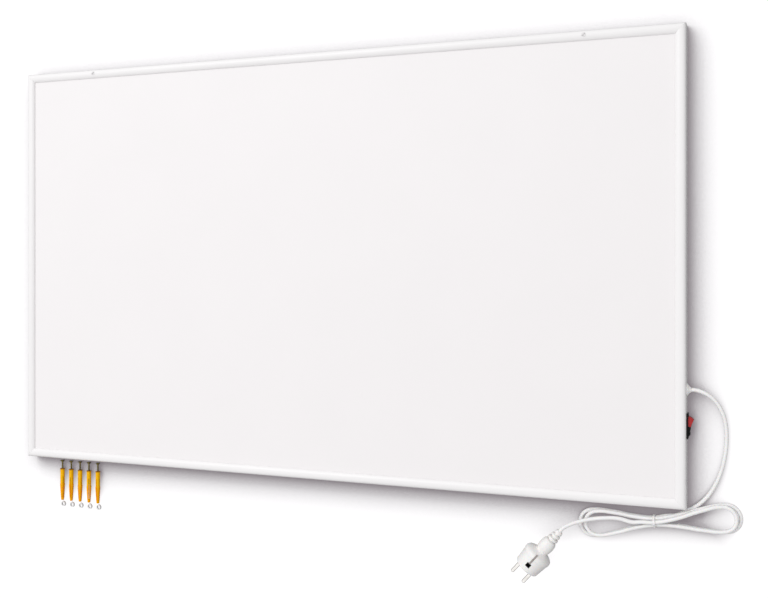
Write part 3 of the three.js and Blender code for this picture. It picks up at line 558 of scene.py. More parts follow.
def powder_coat(name, colour, roughness=0.4, peel=900.0, depth=0.000012, grime=0.985):
    """Baked powder paint: orange peel, a fine grain and a faint unevenness of tone."""
    paint = Finish(name)
    skin, grain = paint.noise(peel), paint.noise(5 * peel, 1.0)
    return paint.made(
        paint.vary(paint.noise(9.0, 3.0), colour, shaded(colour, grime)),
        paint.spread(skin, roughness - 0.05, roughness + 0.06),
        [(skin, depth), (grain, depth / 5)], shine=0.5,
    )


def satin_plastic(name, colour, roughness=0.42, mottle=0.96, soft=0.0, shine=0.5):
    """Moulded plastic: spark-eroded skin, flow marks and a little unevenness of tone."""
    plastic = Finish(name)
    flow = plastic.noise(1.0, 3.0, 0.55, (60.0, 60.0, 140.0))
    skin, waves = plastic.noise(2600.0), plastic.noise(180.0, 1.0)
    return plastic.made(
        plastic.vary(flow, colour, shaded(colour, mottle)),
        plastic.spread(skin, roughness - 0.06, roughness + 0.08),
        [(waves, 0.00003), (skin, 0.000006)],
        shine=shine, soft=soft, soft_radius=(0.0015, 0.001, 0.0007), soft_scale=0.5,
    )


def plated_metal(name, colour, other, roughness=0.3, lines=(30.0, 30.0, 2200.0), blots=260.0):
    """Plated or drawn metal: fine lines, blots of another tone and small pits."""
    metal = Finish(name)
    blot, line = metal.noise(blots, 4.0, 0.6), metal.noise(1.0, 3.0, stretch=lines)
    return metal.made(
        metal.vary(blot, colour, other, 0.38, 0.66),
        metal.spread(line, roughness - 0.08, roughness + 0.14),
        [(line, 0.000006), (blot, 0.00001)], metal=1.0,
    )


def spangled_zinc(name, colour):
    """Hot dipped sheet: crystals of zinc that catch the light unevenly."""
    metal = Finish(name)
    crystal, edge = metal.cells(160.0), metal.cells(160.0, "DISTANCE_TO_EDGE")
    return metal.made(
        metal.vary(crystal, colour, shaded(colour, 0.72), 0.2, 0.8),
        metal.spread(crystal, 0.28, 0.5, 0.2, 0.8), [(edge, 0.00001)], metal=1.0,
    )


def heating_film(name):
    """Printed film: carbon stripes between clear gaps."""
    film = Finish(name)
    stripe, speck = film.bands(15.0, "X", 0.05), film.noise(1500.0, 3.0)
    ink = film.vary(speck, (0.018, 0.018, 0.02), (0.04, 0.04, 0.042))
    return film.made(
        film.vary(stripe, (0.3, 0.3, 0.28), ink, 0.08, 0.12),
        film.spread(stripe, 0.25, 0.7, 0.08, 0.12), [(stripe, 0.00002), (speck, 0.000008)],
    )


def mineral_board(name):
    """Pressed mineral fibre: matted threads with darker specks."""
    board = Finish(name)
    first = board.noise(1.0, 4.0, 0.65, (180.0, 1300.0, 1300.0))
    second = board.noise(1.0, 4.0, 0.65, (1300.0, 180.0, 1300.0))
    wool = board.vary(first, (0.74, 0.69, 0.56), (0.55, 0.5, 0.36))
    tone = board.vary(board.noise(420.0), wool, (0.3, 0.25, 0.16), 0.62, 0.72)
    return board.made(tone, 0.95, [(first, 0.0003), (second, 0.0003)], sheen=0.3)


def wire_sheath(name, colour, stripe=None):
    """Thin insulation: a waxy skin, for the earth wire with its second colour."""
    sheath = Finish(name)
    skin = sheath.noise(1800.0)
    tone = sheath.vary(skin, colour, shaded(colour, 0.85))
    if stripe is not None:
        line = sheath.bands(55.0, "DIAGONAL", stretch=(1.0, 1.0, 0.4))
        tone = sheath.vary(line, tone, stripe, 0.5, 0.56)
    return sheath.made(tone, sheath.spread(skin, 0.38, 0.5), [(skin, 0.000008)])


def clear_red(name, colour):
    """Red rocker: glossy, deep in colour, with a few fine scratches."""
    red = Finish(name)
    depth, scratch = red.noise(220.0), red.noise(1.0, stretch=(4000.0, 500.0, 4000.0))
    return red.made(
        red.vary(depth, colour, shaded(colour, 0.72)), red.spread(scratch, 0.12, 0.3),
        [(depth, 0.00002), (scratch, 0.000003)], shine=0.3, coat=0.25, coat_roughness=0.08,
    )


def wall_plug_plastic(name, kit, upper, lower):
    """Nylon of the wall plugs: deeper in colour over the expanding part, with painted shade
    darkening its mouth.
    """
    nylon = Finish(name)
    far, grain = nylon.axis(nylon.place, "Y"), nylon.noise(1200.0)
    mouth_at = -HALF_Y - kit.below - kit.shown
    turn_at = mouth_at - 0.5 * kit.plug_length
    deep = nylon.spread(far, 1.0, 0.0, turn_at - 4 * MM, turn_at + 4 * MM)
    tone = nylon.mix(deep, upper, lower)
    flecked = nylon.mix(nylon.spread(grain, 0.0, 0.08), tone, shaded(lower, 0.75))
    # Painted shade: the colour turns deep brown within a few millimetres of the plug's mouth,
    # where the recess would be in shade.
    mouth = nylon.spread(far, 0.0, 0.8, mouth_at - 2.2 * MM, mouth_at - 0.4 * MM)
    return nylon.made(
        nylon.mix(mouth, flecked, (0.3, 0.09, 0.004)), nylon.spread(grain, 0.36, 0.5),
        [(grain, 0.00002)],
        shine=0.12, soft=0.15, soft_radius=(0.002, 0.0008, 0.0003), soft_scale=0.5,
    )


FINISHES = {}


def finish(name):
    """The finish of that name, made when it is first asked for."""
    if name not in FINISHES:
        tones = bpy.context.scene.heater_colours
        kit = bpy.context.scene.heater_kit
        even = (900.0, 900.0, 900.0)
        recipes = {
            "frame_paint": (powder_coat, tones.frame, 0.38),
            "plate_paint": (powder_coat, tones.plate, 0.55, 1600.0, 0.00002, 0.99),
            "rear_paint": (powder_coat, tones.rear, 0.55, 700.0, 0.00003),
            "screw_paint": (
                powder_coat, shaded(tones.frame, 0.97), 0.35, 1500.0, 0.000008, 0.9
            ),
            "white_plastic": (satin_plastic, tones.plug, 0.4, 0.96, 0.1),
            "cord_plastic": (satin_plastic, tones.cord, 0.46, 0.96, 0.1),
            "black_plastic": (satin_plastic, tones.bezel, 0.34, 0.7, 0.0, 0.12),
            "red_plastic": (clear_red, tones.rocker),
            "mark_paint": (satin_plastic, tones.mark, 0.5),
            "carbon_film": (heating_film,),
            "copper": (plated_metal, (0.72, 0.42, 0.25), (0.42, 0.2, 0.12)),
            "steel": (spangled_zinc, (0.6, 0.6, 0.61)),
            "nickel": (plated_metal, (0.95, 0.93, 0.9), (0.84, 0.81, 0.77), 0.16),
            "contact_metal": (plated_metal, (0.4, 0.36, 0.35), (0.3, 0.27, 0.26)),
            "zinc": (plated_metal, tones.zinc, (0.2, 0.17, 0.06), 0.34, even, 420.0),
            "mineral_fill": (mineral_board,),
            "brown_wire": (wire_sheath, (0.2, 0.08, 0.03)),
            "blue_wire": (wire_sheath, (0.05, 0.14, 0.42)),
            "green_wire": (wire_sheath, (0.14, 0.32, 0.04), (0.75, 0.6, 0.03)),
            "orange_plastic": (wall_plug_plastic, kit, tones.wall_plug, tones.wall_plug_tip),
            "grey_plastic": (satin_plastic, tones.spacer, 0.45, 0.9),
        }
        recipe, *settings = recipes[name]
        FINISHES[name] = recipe(name, *settings)
    return FINISHES[name]


# ---- Cord ----


def ease(x):
    t = min(1.0, max(0.0, x))
    return t * t * (3 - 2 * t)


class HankRoute:
    """The route of the cord through its tied hank, in metres"""

    waist = (461.0 * MM, -319.6 * MM)
    layers = (
        {"half": 16.5 * MM, "right": 86.5 * MM, "left": 77.8 * MM},
        {"half": 15.2 * MM, "right": 83.0 * MM, "left": 71.3 * MM},
    )
    arc_steps = 6
    run_steps = 3
    lift_reach = 45 * MM

    def __init__(self, cord):
        self.cord = cord
        self.points = []

    def on_hank(self, along, across, up):
        turned = self.cord.hank_turn
        return Vector(
            (
                self.waist[0] + along * math.cos(turned) - across * math.sin(turned),
                self.waist[1] + along * math.sin(turned) + across * math.cos(turned),
                up,
            )
        )

    def put(self, along, across, up):
        self.points.append(self.on_hank(along, across, up))

    def lifted(self, layer, along):
        low = self.cord.diameter / 2 + layer * self.cord.strand_pitch
        return low + self.cord.waist_lift * (1 - ease(abs(along) / self.lift_reach))

    def spread_at(self, shape, along):
        reach = shape["right"] if along > 0 else shape["left"]
        waist = self.cord.waist_spread
        return waist + (shape["half"] - waist) * ease(abs(along) / reach)

    def over(self, apart):
        return math.sqrt(self.cord.strand_pitch**2 - apart**2)

    def run_across(self, shape, layer, start, end):
        for step in range(self.run_steps):
            along = start + (end - start) * step / self.run_steps
            self.put(along, -self.spread_at(shape, along), self.lifted(layer, along))

    def arc(self, shape, layer, side):
        reach = shape["right"] if side > 0 else shape["left"]
        for step in range(self.arc_steps):
            angle = math.pi * step / self.arc_steps
            out = shape["half"] * math.sin(angle)
            across = -side * shape["half"] * math.cos(angle)
            self.put(side * (reach + out), across, self.lifted(layer, reach))

    def climb(self, shape, layer):
        cord = self.cord
        last = layer == len(self.layers) - 1
        for step in range(self.run_steps):
            along = shape["right"] * (1 - step / self.run_steps)
            climb = ease((cord.climb_from - along) / (cord.climb_from - cord.climb_to))
            under = self.spread_at(self.layers[-1], along)
            own = self.spread_at(shape, along)
            waist = cord.waist_spread
            if last:
                across = shape["half"] * (own - waist) / (shape["half"] - waist)
                rise = self.over(min(under - across, waist))
            else:
                across = own + (under - own) * climb
                rise = cord.strand_pitch
            self.put(along, across, self.lifted(layer, along) + rise * climb)

    def hank(self):
        """From the lead's end, over the left and right lobes, to the tail."""
        reach = self.cord.end_reach
        thick = self.cord.diameter
        first = self.layers[0]
        wide = self.spread_at(first, reach)
        self.points = []
        self.put(reach, wide, self.lifted(0, reach))
        self.put(reach - thick, wide, self.lifted(0, reach))
        for layer, shape in enumerate(self.layers):
            for step in range(self.run_steps):
                along = -shape["left"] * step / self.run_steps
                self.put(along, self.spread_at(shape, along), self.lifted(layer, along))
            self.arc(shape, layer, -1)
            self.run_across(shape, layer, -shape["left"], 0.0)
            self.run_across(shape, layer, 0.0, shape["right"])
            self.arc(shape, layer, 1)
            self.climb(shape, layer)
        top = self.lifted(len(self.layers) - 1, 0.0) + self.over(self.cord.waist_spread)
        self.put(0.0, 0.0, top)
        self.put(thick - reach, MM, top)
        self.put(-reach, MM, top)
        return self.points

    def tie_strands(self):
        """Middles of the strands in the tie, as (across, up)."""
        low = self.lifted(0, 0.0)
        pitch = self.cord.strand_pitch
        wide = self.cord.waist_spread
        top = low + pitch + self.over(wide)
        return [(-wide, low), (wide, low), (-wide, low + pitch), (wide, low + pitch), (0.0, top)]


PLUG_END = Vector((343.9 * MM, -340.3 * MM, 19.0 * MM))


def plug_place(plug):
    """From the plug's own frame (along it, across it, up) to the heater's."""
    return at(*PLUG_END, plug.turned_by)


def before_plug(plug, distance):
    return plug_place(plug) @ Vector((-distance, 0.0, 0.0))


# The cord's way to its hank and from there to the plug, in millimetres.
LEAD = (
    (502.4, -152.8, 9.0), (505.7, -152.8, 9.0), (510.7, -152.8, 9.0), (523.5, -157.4, 8.2),
    (533.5, -165.6, 6.6), (541.0, -178.0, 4.8), (545.3, -193.0, 3.3), (546.5, -211.0, 2.5),
    (544.6, -233.0, 2.5), (539.2, -255.0, 2.5), (530.8, -274.0, 2.5), (519.8, -289.3, 2.5),
    (507.6, -299.6, 2.5), (496.0, -306.0, 2.7),
)
TAIL = (
    (417.0, -318.5, 13.9), (400.0, -319.4, 14.0), (384.0, -322.0, 14.4), (370.0, -325.6, 16.0),
    (358.6, -329.6, 18.2),
)
PLUG_APPROACH = (5.3, 0.3, -3)


def cord_route(cord, plug):
    """Every point of the cord, from the bushing to the plug."""

    def beyond(end, before):
        along = (end - before).normalized()
        return [end + along * 0.3 * MM, end + along * (0.3 * MM + cord.diameter)]

    hank = HankRoute(cord).hank()
    route = [Vector(point) * MM for point in LEAD]
    route += reversed(beyond(hank[0], hank[1]))
    route += hank + beyond(hank[-1], hank[-2])
    route += [Vector(point) * MM for point in TAIL]
    return route + [before_plug(plug, back * MM) for back in PLUG_APPROACH]


# Fitted to the edges of the heater in the photograph.
PHOTO_PLACE = (0.62008, 0.00461, 1.3494)
PHOTO_LEAN = math.radians(21.284)
PHOTO_SHIFT = -0.04754
SENSOR_WIDTH = 36.0


class HEATER_OT_camera(Operator):
    """Set the camera where the photograph was taken from"""

    bl_idname = "heater.camera"
    bl_label = "Camera"

    def execute(self, context):
        bpy.ops.object.select_all(action="DESELECT")
        bpy.ops.object.camera_add(location=PHOTO_PLACE, rotation=(0.0, PHOTO_LEAN, 0.0))
        camera = rename(context.object, "photo_camera")
        camera.data.sensor_width = SENSOR_WIDTH
        camera.data.lens = context.scene.heater_studio.lens
        camera.data.shift_y = PHOTO_SHIFT
        camera.data.clip_start = 0.01
        context.scene.camera = camera
        return {"FINISHED"}


# Outline of the plug's body as (radius, distance from its cord end) in millimetres.
PLUG_OUTLINE = (
    (0.0, 0.0), (4.1, 0.0), (4.6, 0.5), (4.9, 1.4), (5.3, 3.7), (5.2, 4.1), (3.4, 4.4),
    (3.4, 6.0), (4.9, 6.4), (5.9, 6.8), (6.25, 7.4), (6.3, 9.0), (6.1, 9.4), (3.6, 9.7),
    (3.6, 11.3), (5.8, 11.7), (6.9, 12.0), (7.25, 12.7), (7.3, 14.3), (7.1, 14.8),
    (4.2, 15.1), (4.2, 16.6), (6.9, 17.0), (7.5, 17.5), (8.2, 18.4), (8.8, 19.6),
    (9.3, 21.2), (9.6, 23.2), (9.78, 25.2), (9.78, 27.2), (9.6, 29.6), (9.25, 32.0),
    (8.6, 33.9), (8.2, 34.8), (8.5, 35.9), (9.8, 36.9), (11.9, 37.7), (14.2, 38.5),
    (16.4, 39.6), (18.0, 40.9), (18.8, 42.2), (19.0, 43.4), (19.0, 45.6), (18.8, 46.6),
    (18.5, 47.4), (18.2, 48.2), (18.1, 50.0), (16.75, 65.0), (16.5, 65.7), (16.1, 66.2),
    (15.6, 66.5), (0.0, 66.5),
)
ALONG_X = Matrix.Rotation(QUARTER, 4, "Y")


class HEATER_OT_plug(Operator):
    """Model the mains plug with its pins and earth contacts"""

    bl_idname = "heater.plug"
    bl_label = "Plug"

    def execute(self, context):
        plug = context.scene.heater_plug
        place = plug_place(plug)
        half = plug.pin_spacing / 2
        body = spun("plug_body", [(r * MM, h * MM) for r, h in PLUG_OUTLINE], 64)
        settle(body, ALONG_X)
        carve(body, *self.hollows(plug, half))
        smooth(settle(body, place), 32)
        put_on(body, "panel", "white_plastic", "plug_body")
        for number, across in enumerate((-half, half), 1):
            pin = settle(self.make_pin(plug, number), at(0, across, 0) @ ALONG_X)
            smooth(settle(pin, place), 50)
            put_on(pin, "panel", "nickel", f"plug_pin_{number}")
        for number, side in enumerate((-1, 1), 1):
            contact = self.make_contact(plug, side, f"earth_contact_{number}")
            smooth(settle(contact, place), 40)
            put_on(contact, "panel", "contact_metal", f"earth_clip_{number}", slot="nickel")
            # Each pocket gets a black lining, a painted shade for the dark recess behind the
            # contact.
            shade_lining = self.line_pocket_with_shade(plug, side, f"pocket_shade_lining_{number}")
            smooth(settle(shade_lining, place), 40)
            put_on(shade_lining, "panel", "black_plastic")
        return {"FINISHED"}

    def hole(self, face, radius, depth, mouth, chamfer):
        """A hole into the pin face, wider at its mouth."""
        points = [(0.0, -depth), (radius, -depth), (radius, -chamfer), (mouth, MM), (0.0, MM)]
        return spun("hole", [(r, face + h) for r, h in points], 32)

    def hollows(self, plug, half):
        """Holes for the pins and the earth, and each side's groove, pocket and notch."""
        face, pin, radius = plug.face_at, plug.pin_radius, plug.radius
        tools = []
        for across in (-half, half):
            socket = self.hole(face, pin + 0.3 * MM, 8 * MM, pin + 0.8 * MM, 0.5 * MM)
            tools.append(settle(socket, at(0, across, 0) @ ALONG_X))
        width = plug.clip_width + 0.4 * MM
        for side in (-1, 1):
            bottom, beyond = side * (radius - plug.groove_depth), side * (radius + 2 * MM)
            deep = side * (radius - plug.pocket_depth)
            groove = (plug.clip_start - MM, plug.groove_end + MM)
            pocket = (plug.groove_end, plug.groove_end + plug.pocket_length)
            tools.append(slab("groove", groove, width, (bottom, beyond)))
            tools.append(slab("pocket", pocket, plug.pocket_width, (deep, beyond)))
            back, front = face - 13 * MM, face + MM
            low, high = side * (radius - 3.2 * MM), side * (radius + MM)
            notch = [(back, low), (front, low), (front, high), (back, high)]
            tools.append(flat_prism("notch", notch, -2.6 * MM, 2.6 * MM))
        earth_hole = self.hole(face, 2.5 * MM, 7 * MM, 3.1 * MM, 0.6 * MM)
        return tools + [settle(earth_hole, at(z=7.2 * MM) @ ALONG_X)]

    def make_pin(self, plug, number):
        """A round pin with a tapered tip, from its foot inside the body."""
        r, foot, tip = plug.pin_radius, plug.face_at - 7.7 * MM, plug.face_at + plug.pin_length
        profile = [(0.0, foot), (r, foot)]
        for share, back in ((1, 2.4), (0.97, 1.7), (0.86, 1.0), (0.66, 0.5), (0.36, 0.14)):
            profile.append((share * r, tip - back * MM))
        return spun(f"plug_pin_{number}_metal", profile + [(0.0, tip)], 40)

    def make_contact(self, plug, side, name):
        """A sprung strip that rises from its groove and goes back into it."""
        foot = plug.radius - plug.groove_depth + 0.3 * MM
        start, end = plug.clip_start, plug.groove_end + 0.9 * MM
        line = [
            (start, foot), (start + 3 * MM, foot + 0.9 * MM), (start + 7 * MM, foot + 1.3 * MM),
            (start + 12 * MM, foot + 1.1 * MM), (end, foot + 0.4 * MM),
        ]
        line += [(x, z + 0.7 * MM) for x, z in reversed(line)]
        outline = [(x, -plug.clip_width / 2, side * z) for x, z in line]
        return soften(prism(name, outline, (0, plug.clip_width, 0)), 0.15 * MM, 2, 50)

    def line_pocket_with_shade(self, plug, side, name):
        """A black cup in the pocket behind an earth contact: painted shade that makes the recess
        read dark.
        """
        gap, wall = 0.1 * MM, 0.5 * MM
        start, end = plug.groove_end + gap, plug.groove_end + plug.pocket_length - gap
        low = plug.radius - plug.pocket_depth + gap
        high = plug.radius - 2.4 * MM
        past = side * (high + MM)
        shade_cup = slab(name, (start, end), plug.pocket_width - 2 * gap, (side * low, side * high))
        room = slab(
            "room", (start + wall, end - wall), plug.pocket_width - 2 * (gap + wall),
            (side * (low + wall), past),
        )
        way_in = slab(
            "way_in", (start - MM, start + MM), plug.clip_width + 0.5 * MM,
            (side * (plug.radius - plug.groove_depth), past),
        )
        return carve(shade_cup, room, way_in)


class HEATER_OT_cord(Operator):
    """Lay the mains cord and draw its hank in with the tie"""

    bl_idname = "heater.cord"
    bl_label = "Cord"

    def execute(self, context):
        sizes = context.scene.heater_cord
        bpy.ops.object.select_all(action="DESELECT")
        bpy.ops.curve.primitive_bezier_curve_add(location=(0, 0, 0))
        cord = rename(context.object, "power_cord")
        line = cord.data.splines[0]
        route = cord_route(sizes, context.scene.heater_plug)
        line.bezier_points.add(len(route) - len(line.bezier_points))
        for point, place in zip(line.bezier_points, route):
            point.co = place
            point.handle_left_type = point.handle_right_type = "AUTO"
        cord.data.dimensions = "3D"
        cord.data.resolution_u = 6
        cord.data.bevel_depth = sizes.diameter / 2
        cord.data.bevel_resolution = 5
        cord.data.use_fill_caps = True
        put_on(
            cord, "panel", "cord_plastic", "power_cord_lead", "power_cord_hank",
            "power_cord_tail",
        )
        pieces = [self.make_tie(sizes), "plug_body"]
        pieces += ["plug_pin_1_metal", "plug_pin_2_metal", "earth_contact_1", "earth_contact_2"]
        return {"FINISHED"}

    def make_tie(self, sizes):
        """A taut band round the strands."""
        hank = HankRoute(sizes)
        strands = hank.tie_strands()
        radius = sizes.diameter / 2 + sizes.tie_clear
        outline = []
        steps = 72
        for step in range(steps):
            angle = 2 * math.pi * step / steps
            way = Vector((math.cos(angle), math.sin(angle)))
            far = max(strands, key=lambda strand: Vector(strand).dot(way))
            point = Vector(far) + radius * way
            outline.append(hank.on_hank(-sizes.tie_width / 2, point.x, point.y))
        band = trace("tie_band", outline + [outline[0]])
        start_edit(band, merge=True)
        draw_out(hank.on_hank(sizes.tie_width, 0, 0) - hank.on_hank(0, 0, 0))
        bpy.ops.mesh.select_all(action="SELECT")
        bpy.ops.mesh.normals_make_consistent(inside=False)
        end_edit()
        use_modifier(band, "SOLIDIFY", thickness=sizes.tie_thickness, offset=1.0)
        smooth(soften(band, 0.12 * MM, 2, 50), 40)
        return put_on(band, "panel", "white_plastic", "cord_tie")


# ---- Frame ----


def side_middle(sizes):
    """Height of the switch and the bushing on the outer side of a rail."""
    return (sizes.depth - sizes.dome_rise + MM) / 2


def crown_place(sizes, side):
    """Where a screw stands in the crest of the top rail."""
    return at(side * (sizes.width / 2 - sizes.screw_inset), sizes.height / 2 - sizes.crest)


def rail_section(sizes):
    """Outline of a rail as (inset from the outer side, height)."""
    face, depth, wall = sizes.face, sizes.depth, sizes.wall
    crest, rise = sizes.crest, sizes.dome_rise
    side_top = depth - rise
    lip_top = depth - sizes.lip_drop
    lip_under = lip_top - sizes.lip_thickness
    inner = face - sizes.lip_width
    under = depth - wall
    edge = MM
    points = [(edge, 0.0), (0.62 * edge, 0.08 * edge), (0.29 * edge, 0.29 * edge)]
    points += [(0.08 * edge, 0.62 * edge), (0.0, edge), (0.0, side_top)]
    points += bend(
        (0.0, side_top), (0.0, side_top + 0.62 * rise), (0.4 * crest, depth), (crest, depth), 12
    )
    points += bend(
        (crest, depth), (crest + 0.45 * (face - crest), depth),
        (face - 1.9 * MM, lip_top + 0.6 * sizes.lip_drop),
        (face - 0.7 * MM, lip_top + 0.15 * MM), 9,
    )
    points += [(face - 0.3 * MM, lip_top - 0.35 * MM), (face - 0.04 * MM, lip_under + 0.4 * MM)]
    points += [(face, lip_under + 0.25 * MM), (face - 0.1 * MM, lip_under + 0.06 * MM)]
    points += [(face - 0.3 * MM, lip_under), (inner, lip_under), (inner, under - 0.5 * MM)]
    points += [(crest, under)]
    points += bend(
        (crest, under), (0.5 * crest, under), (wall, side_top + 0.62 * (rise - wall)),
        (wall, side_top), 6,
    )
    lip = sizes.rear_lip_thickness
    points += [(wall, lip), (sizes.rear_lip_width, lip), (sizes.rear_lip_width, 0.0)]
    return points


def make_rail(sizes, name, long_side, reach):
    """A rail with mitred ends, as the top rail of a frame of that reach."""
    half = long_side / 2
    outline = [(-half, reach - inset, height) for inset, height in rail_section(sizes)]
    rail = prism(name, outline, (long_side, 0, 0))
    start_edit(rail, "FACE")
    for side in (-1, 1):
        bpy.ops.mesh.select_all(action="SELECT")
        bpy.ops.mesh.bisect(
            plane_co=(side * (half - sizes.corner_gap * math.sqrt(2)), reach, 0),
            plane_no=(side, -1, 0), use_fill=True, clear_outer=True,
        )
    end_edit()
    return close_up(rail)


class HEATER_OT_rails(Operator):
    """Model the four domed frame rails with mitred corners"""

    bl_idname = "heater.rails"
    bl_label = "Frame rails"

    def execute(self, context):
        sizes = context.scene.heater_frame
        switch = context.scene.heater_switch
        top = make_rail(sizes, "rail_top", sizes.width, sizes.height / 2)
        bottom = settle(copy_of(top, "rail_bottom"), at(turned=math.pi))
        left = make_rail(sizes, "rail_left", sizes.height, sizes.width / 2)
        right = settle(copy_of(left, "rail_right"), at(turned=-QUARTER))
        settle(left, at(turned=QUARTER))
        room = 0.6 * MM
        opening = rounded_rectangle(
            switch.body_length + room, switch.body_width + room, 0.5 * MM, 3
        )
        side, up = sizes.width / 2, side_middle(sizes)
        for outline, along in ((opening, switch.along), (ring(5.1 * MM), switch.cord_along)):
            carve(
                right, side_prism("opening", outline, side - 4 * MM, side + 2 * MM, along, up)
            )
        self.drill(top, sizes)
        for rail, node in (
            (top, "frame_top"), (bottom, "frame_bottom"), (left, "frame_left"),
            (right, "frame_right"),
        ):
            put_on(smooth(rail, 30), "panel", "frame_paint", node)
        return {"FINISHED"}

    def drill(self, rail, sizes):
        """Countersinks for the two crown screws."""
        shank, head, foot, seat = 1.8 * MM, sizes.screw_head, -3 * MM, -0.9 * MM
        profile = [(0, foot), (shank, foot), (shank, seat), (head + 0.12 * MM, seat)]
        profile += [(head + 0.2 * MM, MM), (0, MM)]
        for side in (-1, 1):
            hole = spun("countersink", [(r, sizes.depth + z) for r, z in profile], 32)
            carve(rail, settle(hole, crown_place(sizes, side)))


class HEATER_OT_crown_screws(Operator):
    """Model the two painted screws in the top rail"""

    bl_idname = "heater.crown_screws"
    bl_label = "Crown screws"

    def execute(self, context):
        sizes = context.scene.heater_frame
        r, top, shank = sizes.screw_head, sizes.depth, 1.5 * MM
        profile = [
            (0, -8 * MM), (shank, -8 * MM), (shank, -0.6 * MM), (r, -0.6 * MM), (r, -0.2 * MM),
            (0.9 * r, 0.05 * MM), (0.62 * r, 0.2 * MM), (0.3 * r, 0.26 * MM), (0, 0.28 * MM),
        ]
        master = spun("crown_screw_head_1", [(x, top + z) for x, z in profile], 40)
        slot = flat_prism(
            "slot", rounded_rectangle(2.6 * r, 1.7 * MM, 0.1 * MM, 2), top - 1.1 * MM, top + MM
        )
        carve(master, settle(slot, at(turned=math.radians(45))))
        other = copy_of(master, "crown_screw_head_2")
        for number, (screw, side) in enumerate(((master, -1), (other, 1)), 1):
            smooth(settle(screw, crown_place(sizes, side)), 32)
            put_on(screw, "panel", "screw_paint", f"crown_screw_{number}")
        return {"FINISHED"}


class HEATER_OT_sheets(Operator):
    """Finish the front plate, and press the rear tray with a window for each hanger"""

    bl_idname = "heater.sheets"
    bl_label = "Front plate and rear tray"

    def execute(self, context):
        dress(finish("plate_paint"), "front_plate")
        put_on(self.make_tray(), "panel", "rear_paint", "rear_plate")
        return {"FINISHED"}

    def make_tray(self):
        """A pan with a rim, hollowed and cut through at the four hangers."""
        sheet = 1.2 * MM
        half_x, half_y, top = TRAY[1]
        pan_x, pan_y = half_x - 5 * MM, half_y - 5 * MM

        def layer(name, x, y, radius, low, high):
            return flat_prism(name, rounded_rectangle(2 * x, 2 * y, radius), low, high)

        tray = layer("rear_tray", pan_x, pan_y, 2.5 * MM, 0.0, top)
        weld(tray, layer("rim", half_x, half_y, 1.5 * MM, top - sheet, top))
        tools = [layer("hollow", pan_x - sheet, pan_y - sheet, 1.3 * MM, sheet, top + MM)]
        window = rounded_rectangle(15 * MM, 24.1 * MM, 1.2 * MM, 4)
        for x in (-0.4, 0.4):
            for y in (-0.2, 0.2):
                tools.append(flat_prism("window", window, -MM, 2 * MM, x, y + 4.55 * MM))
        carve(tray, *tools)
        return smooth(soften(tray, 0.25 * MM, 2, 50), 40)


# ---- Switch and bushing ----


def rod(name, radius, low, high):
    """A round bar along Z."""
    return spun(name, [(0, low), (radius, low), (radius, high), (0, high)], 24)


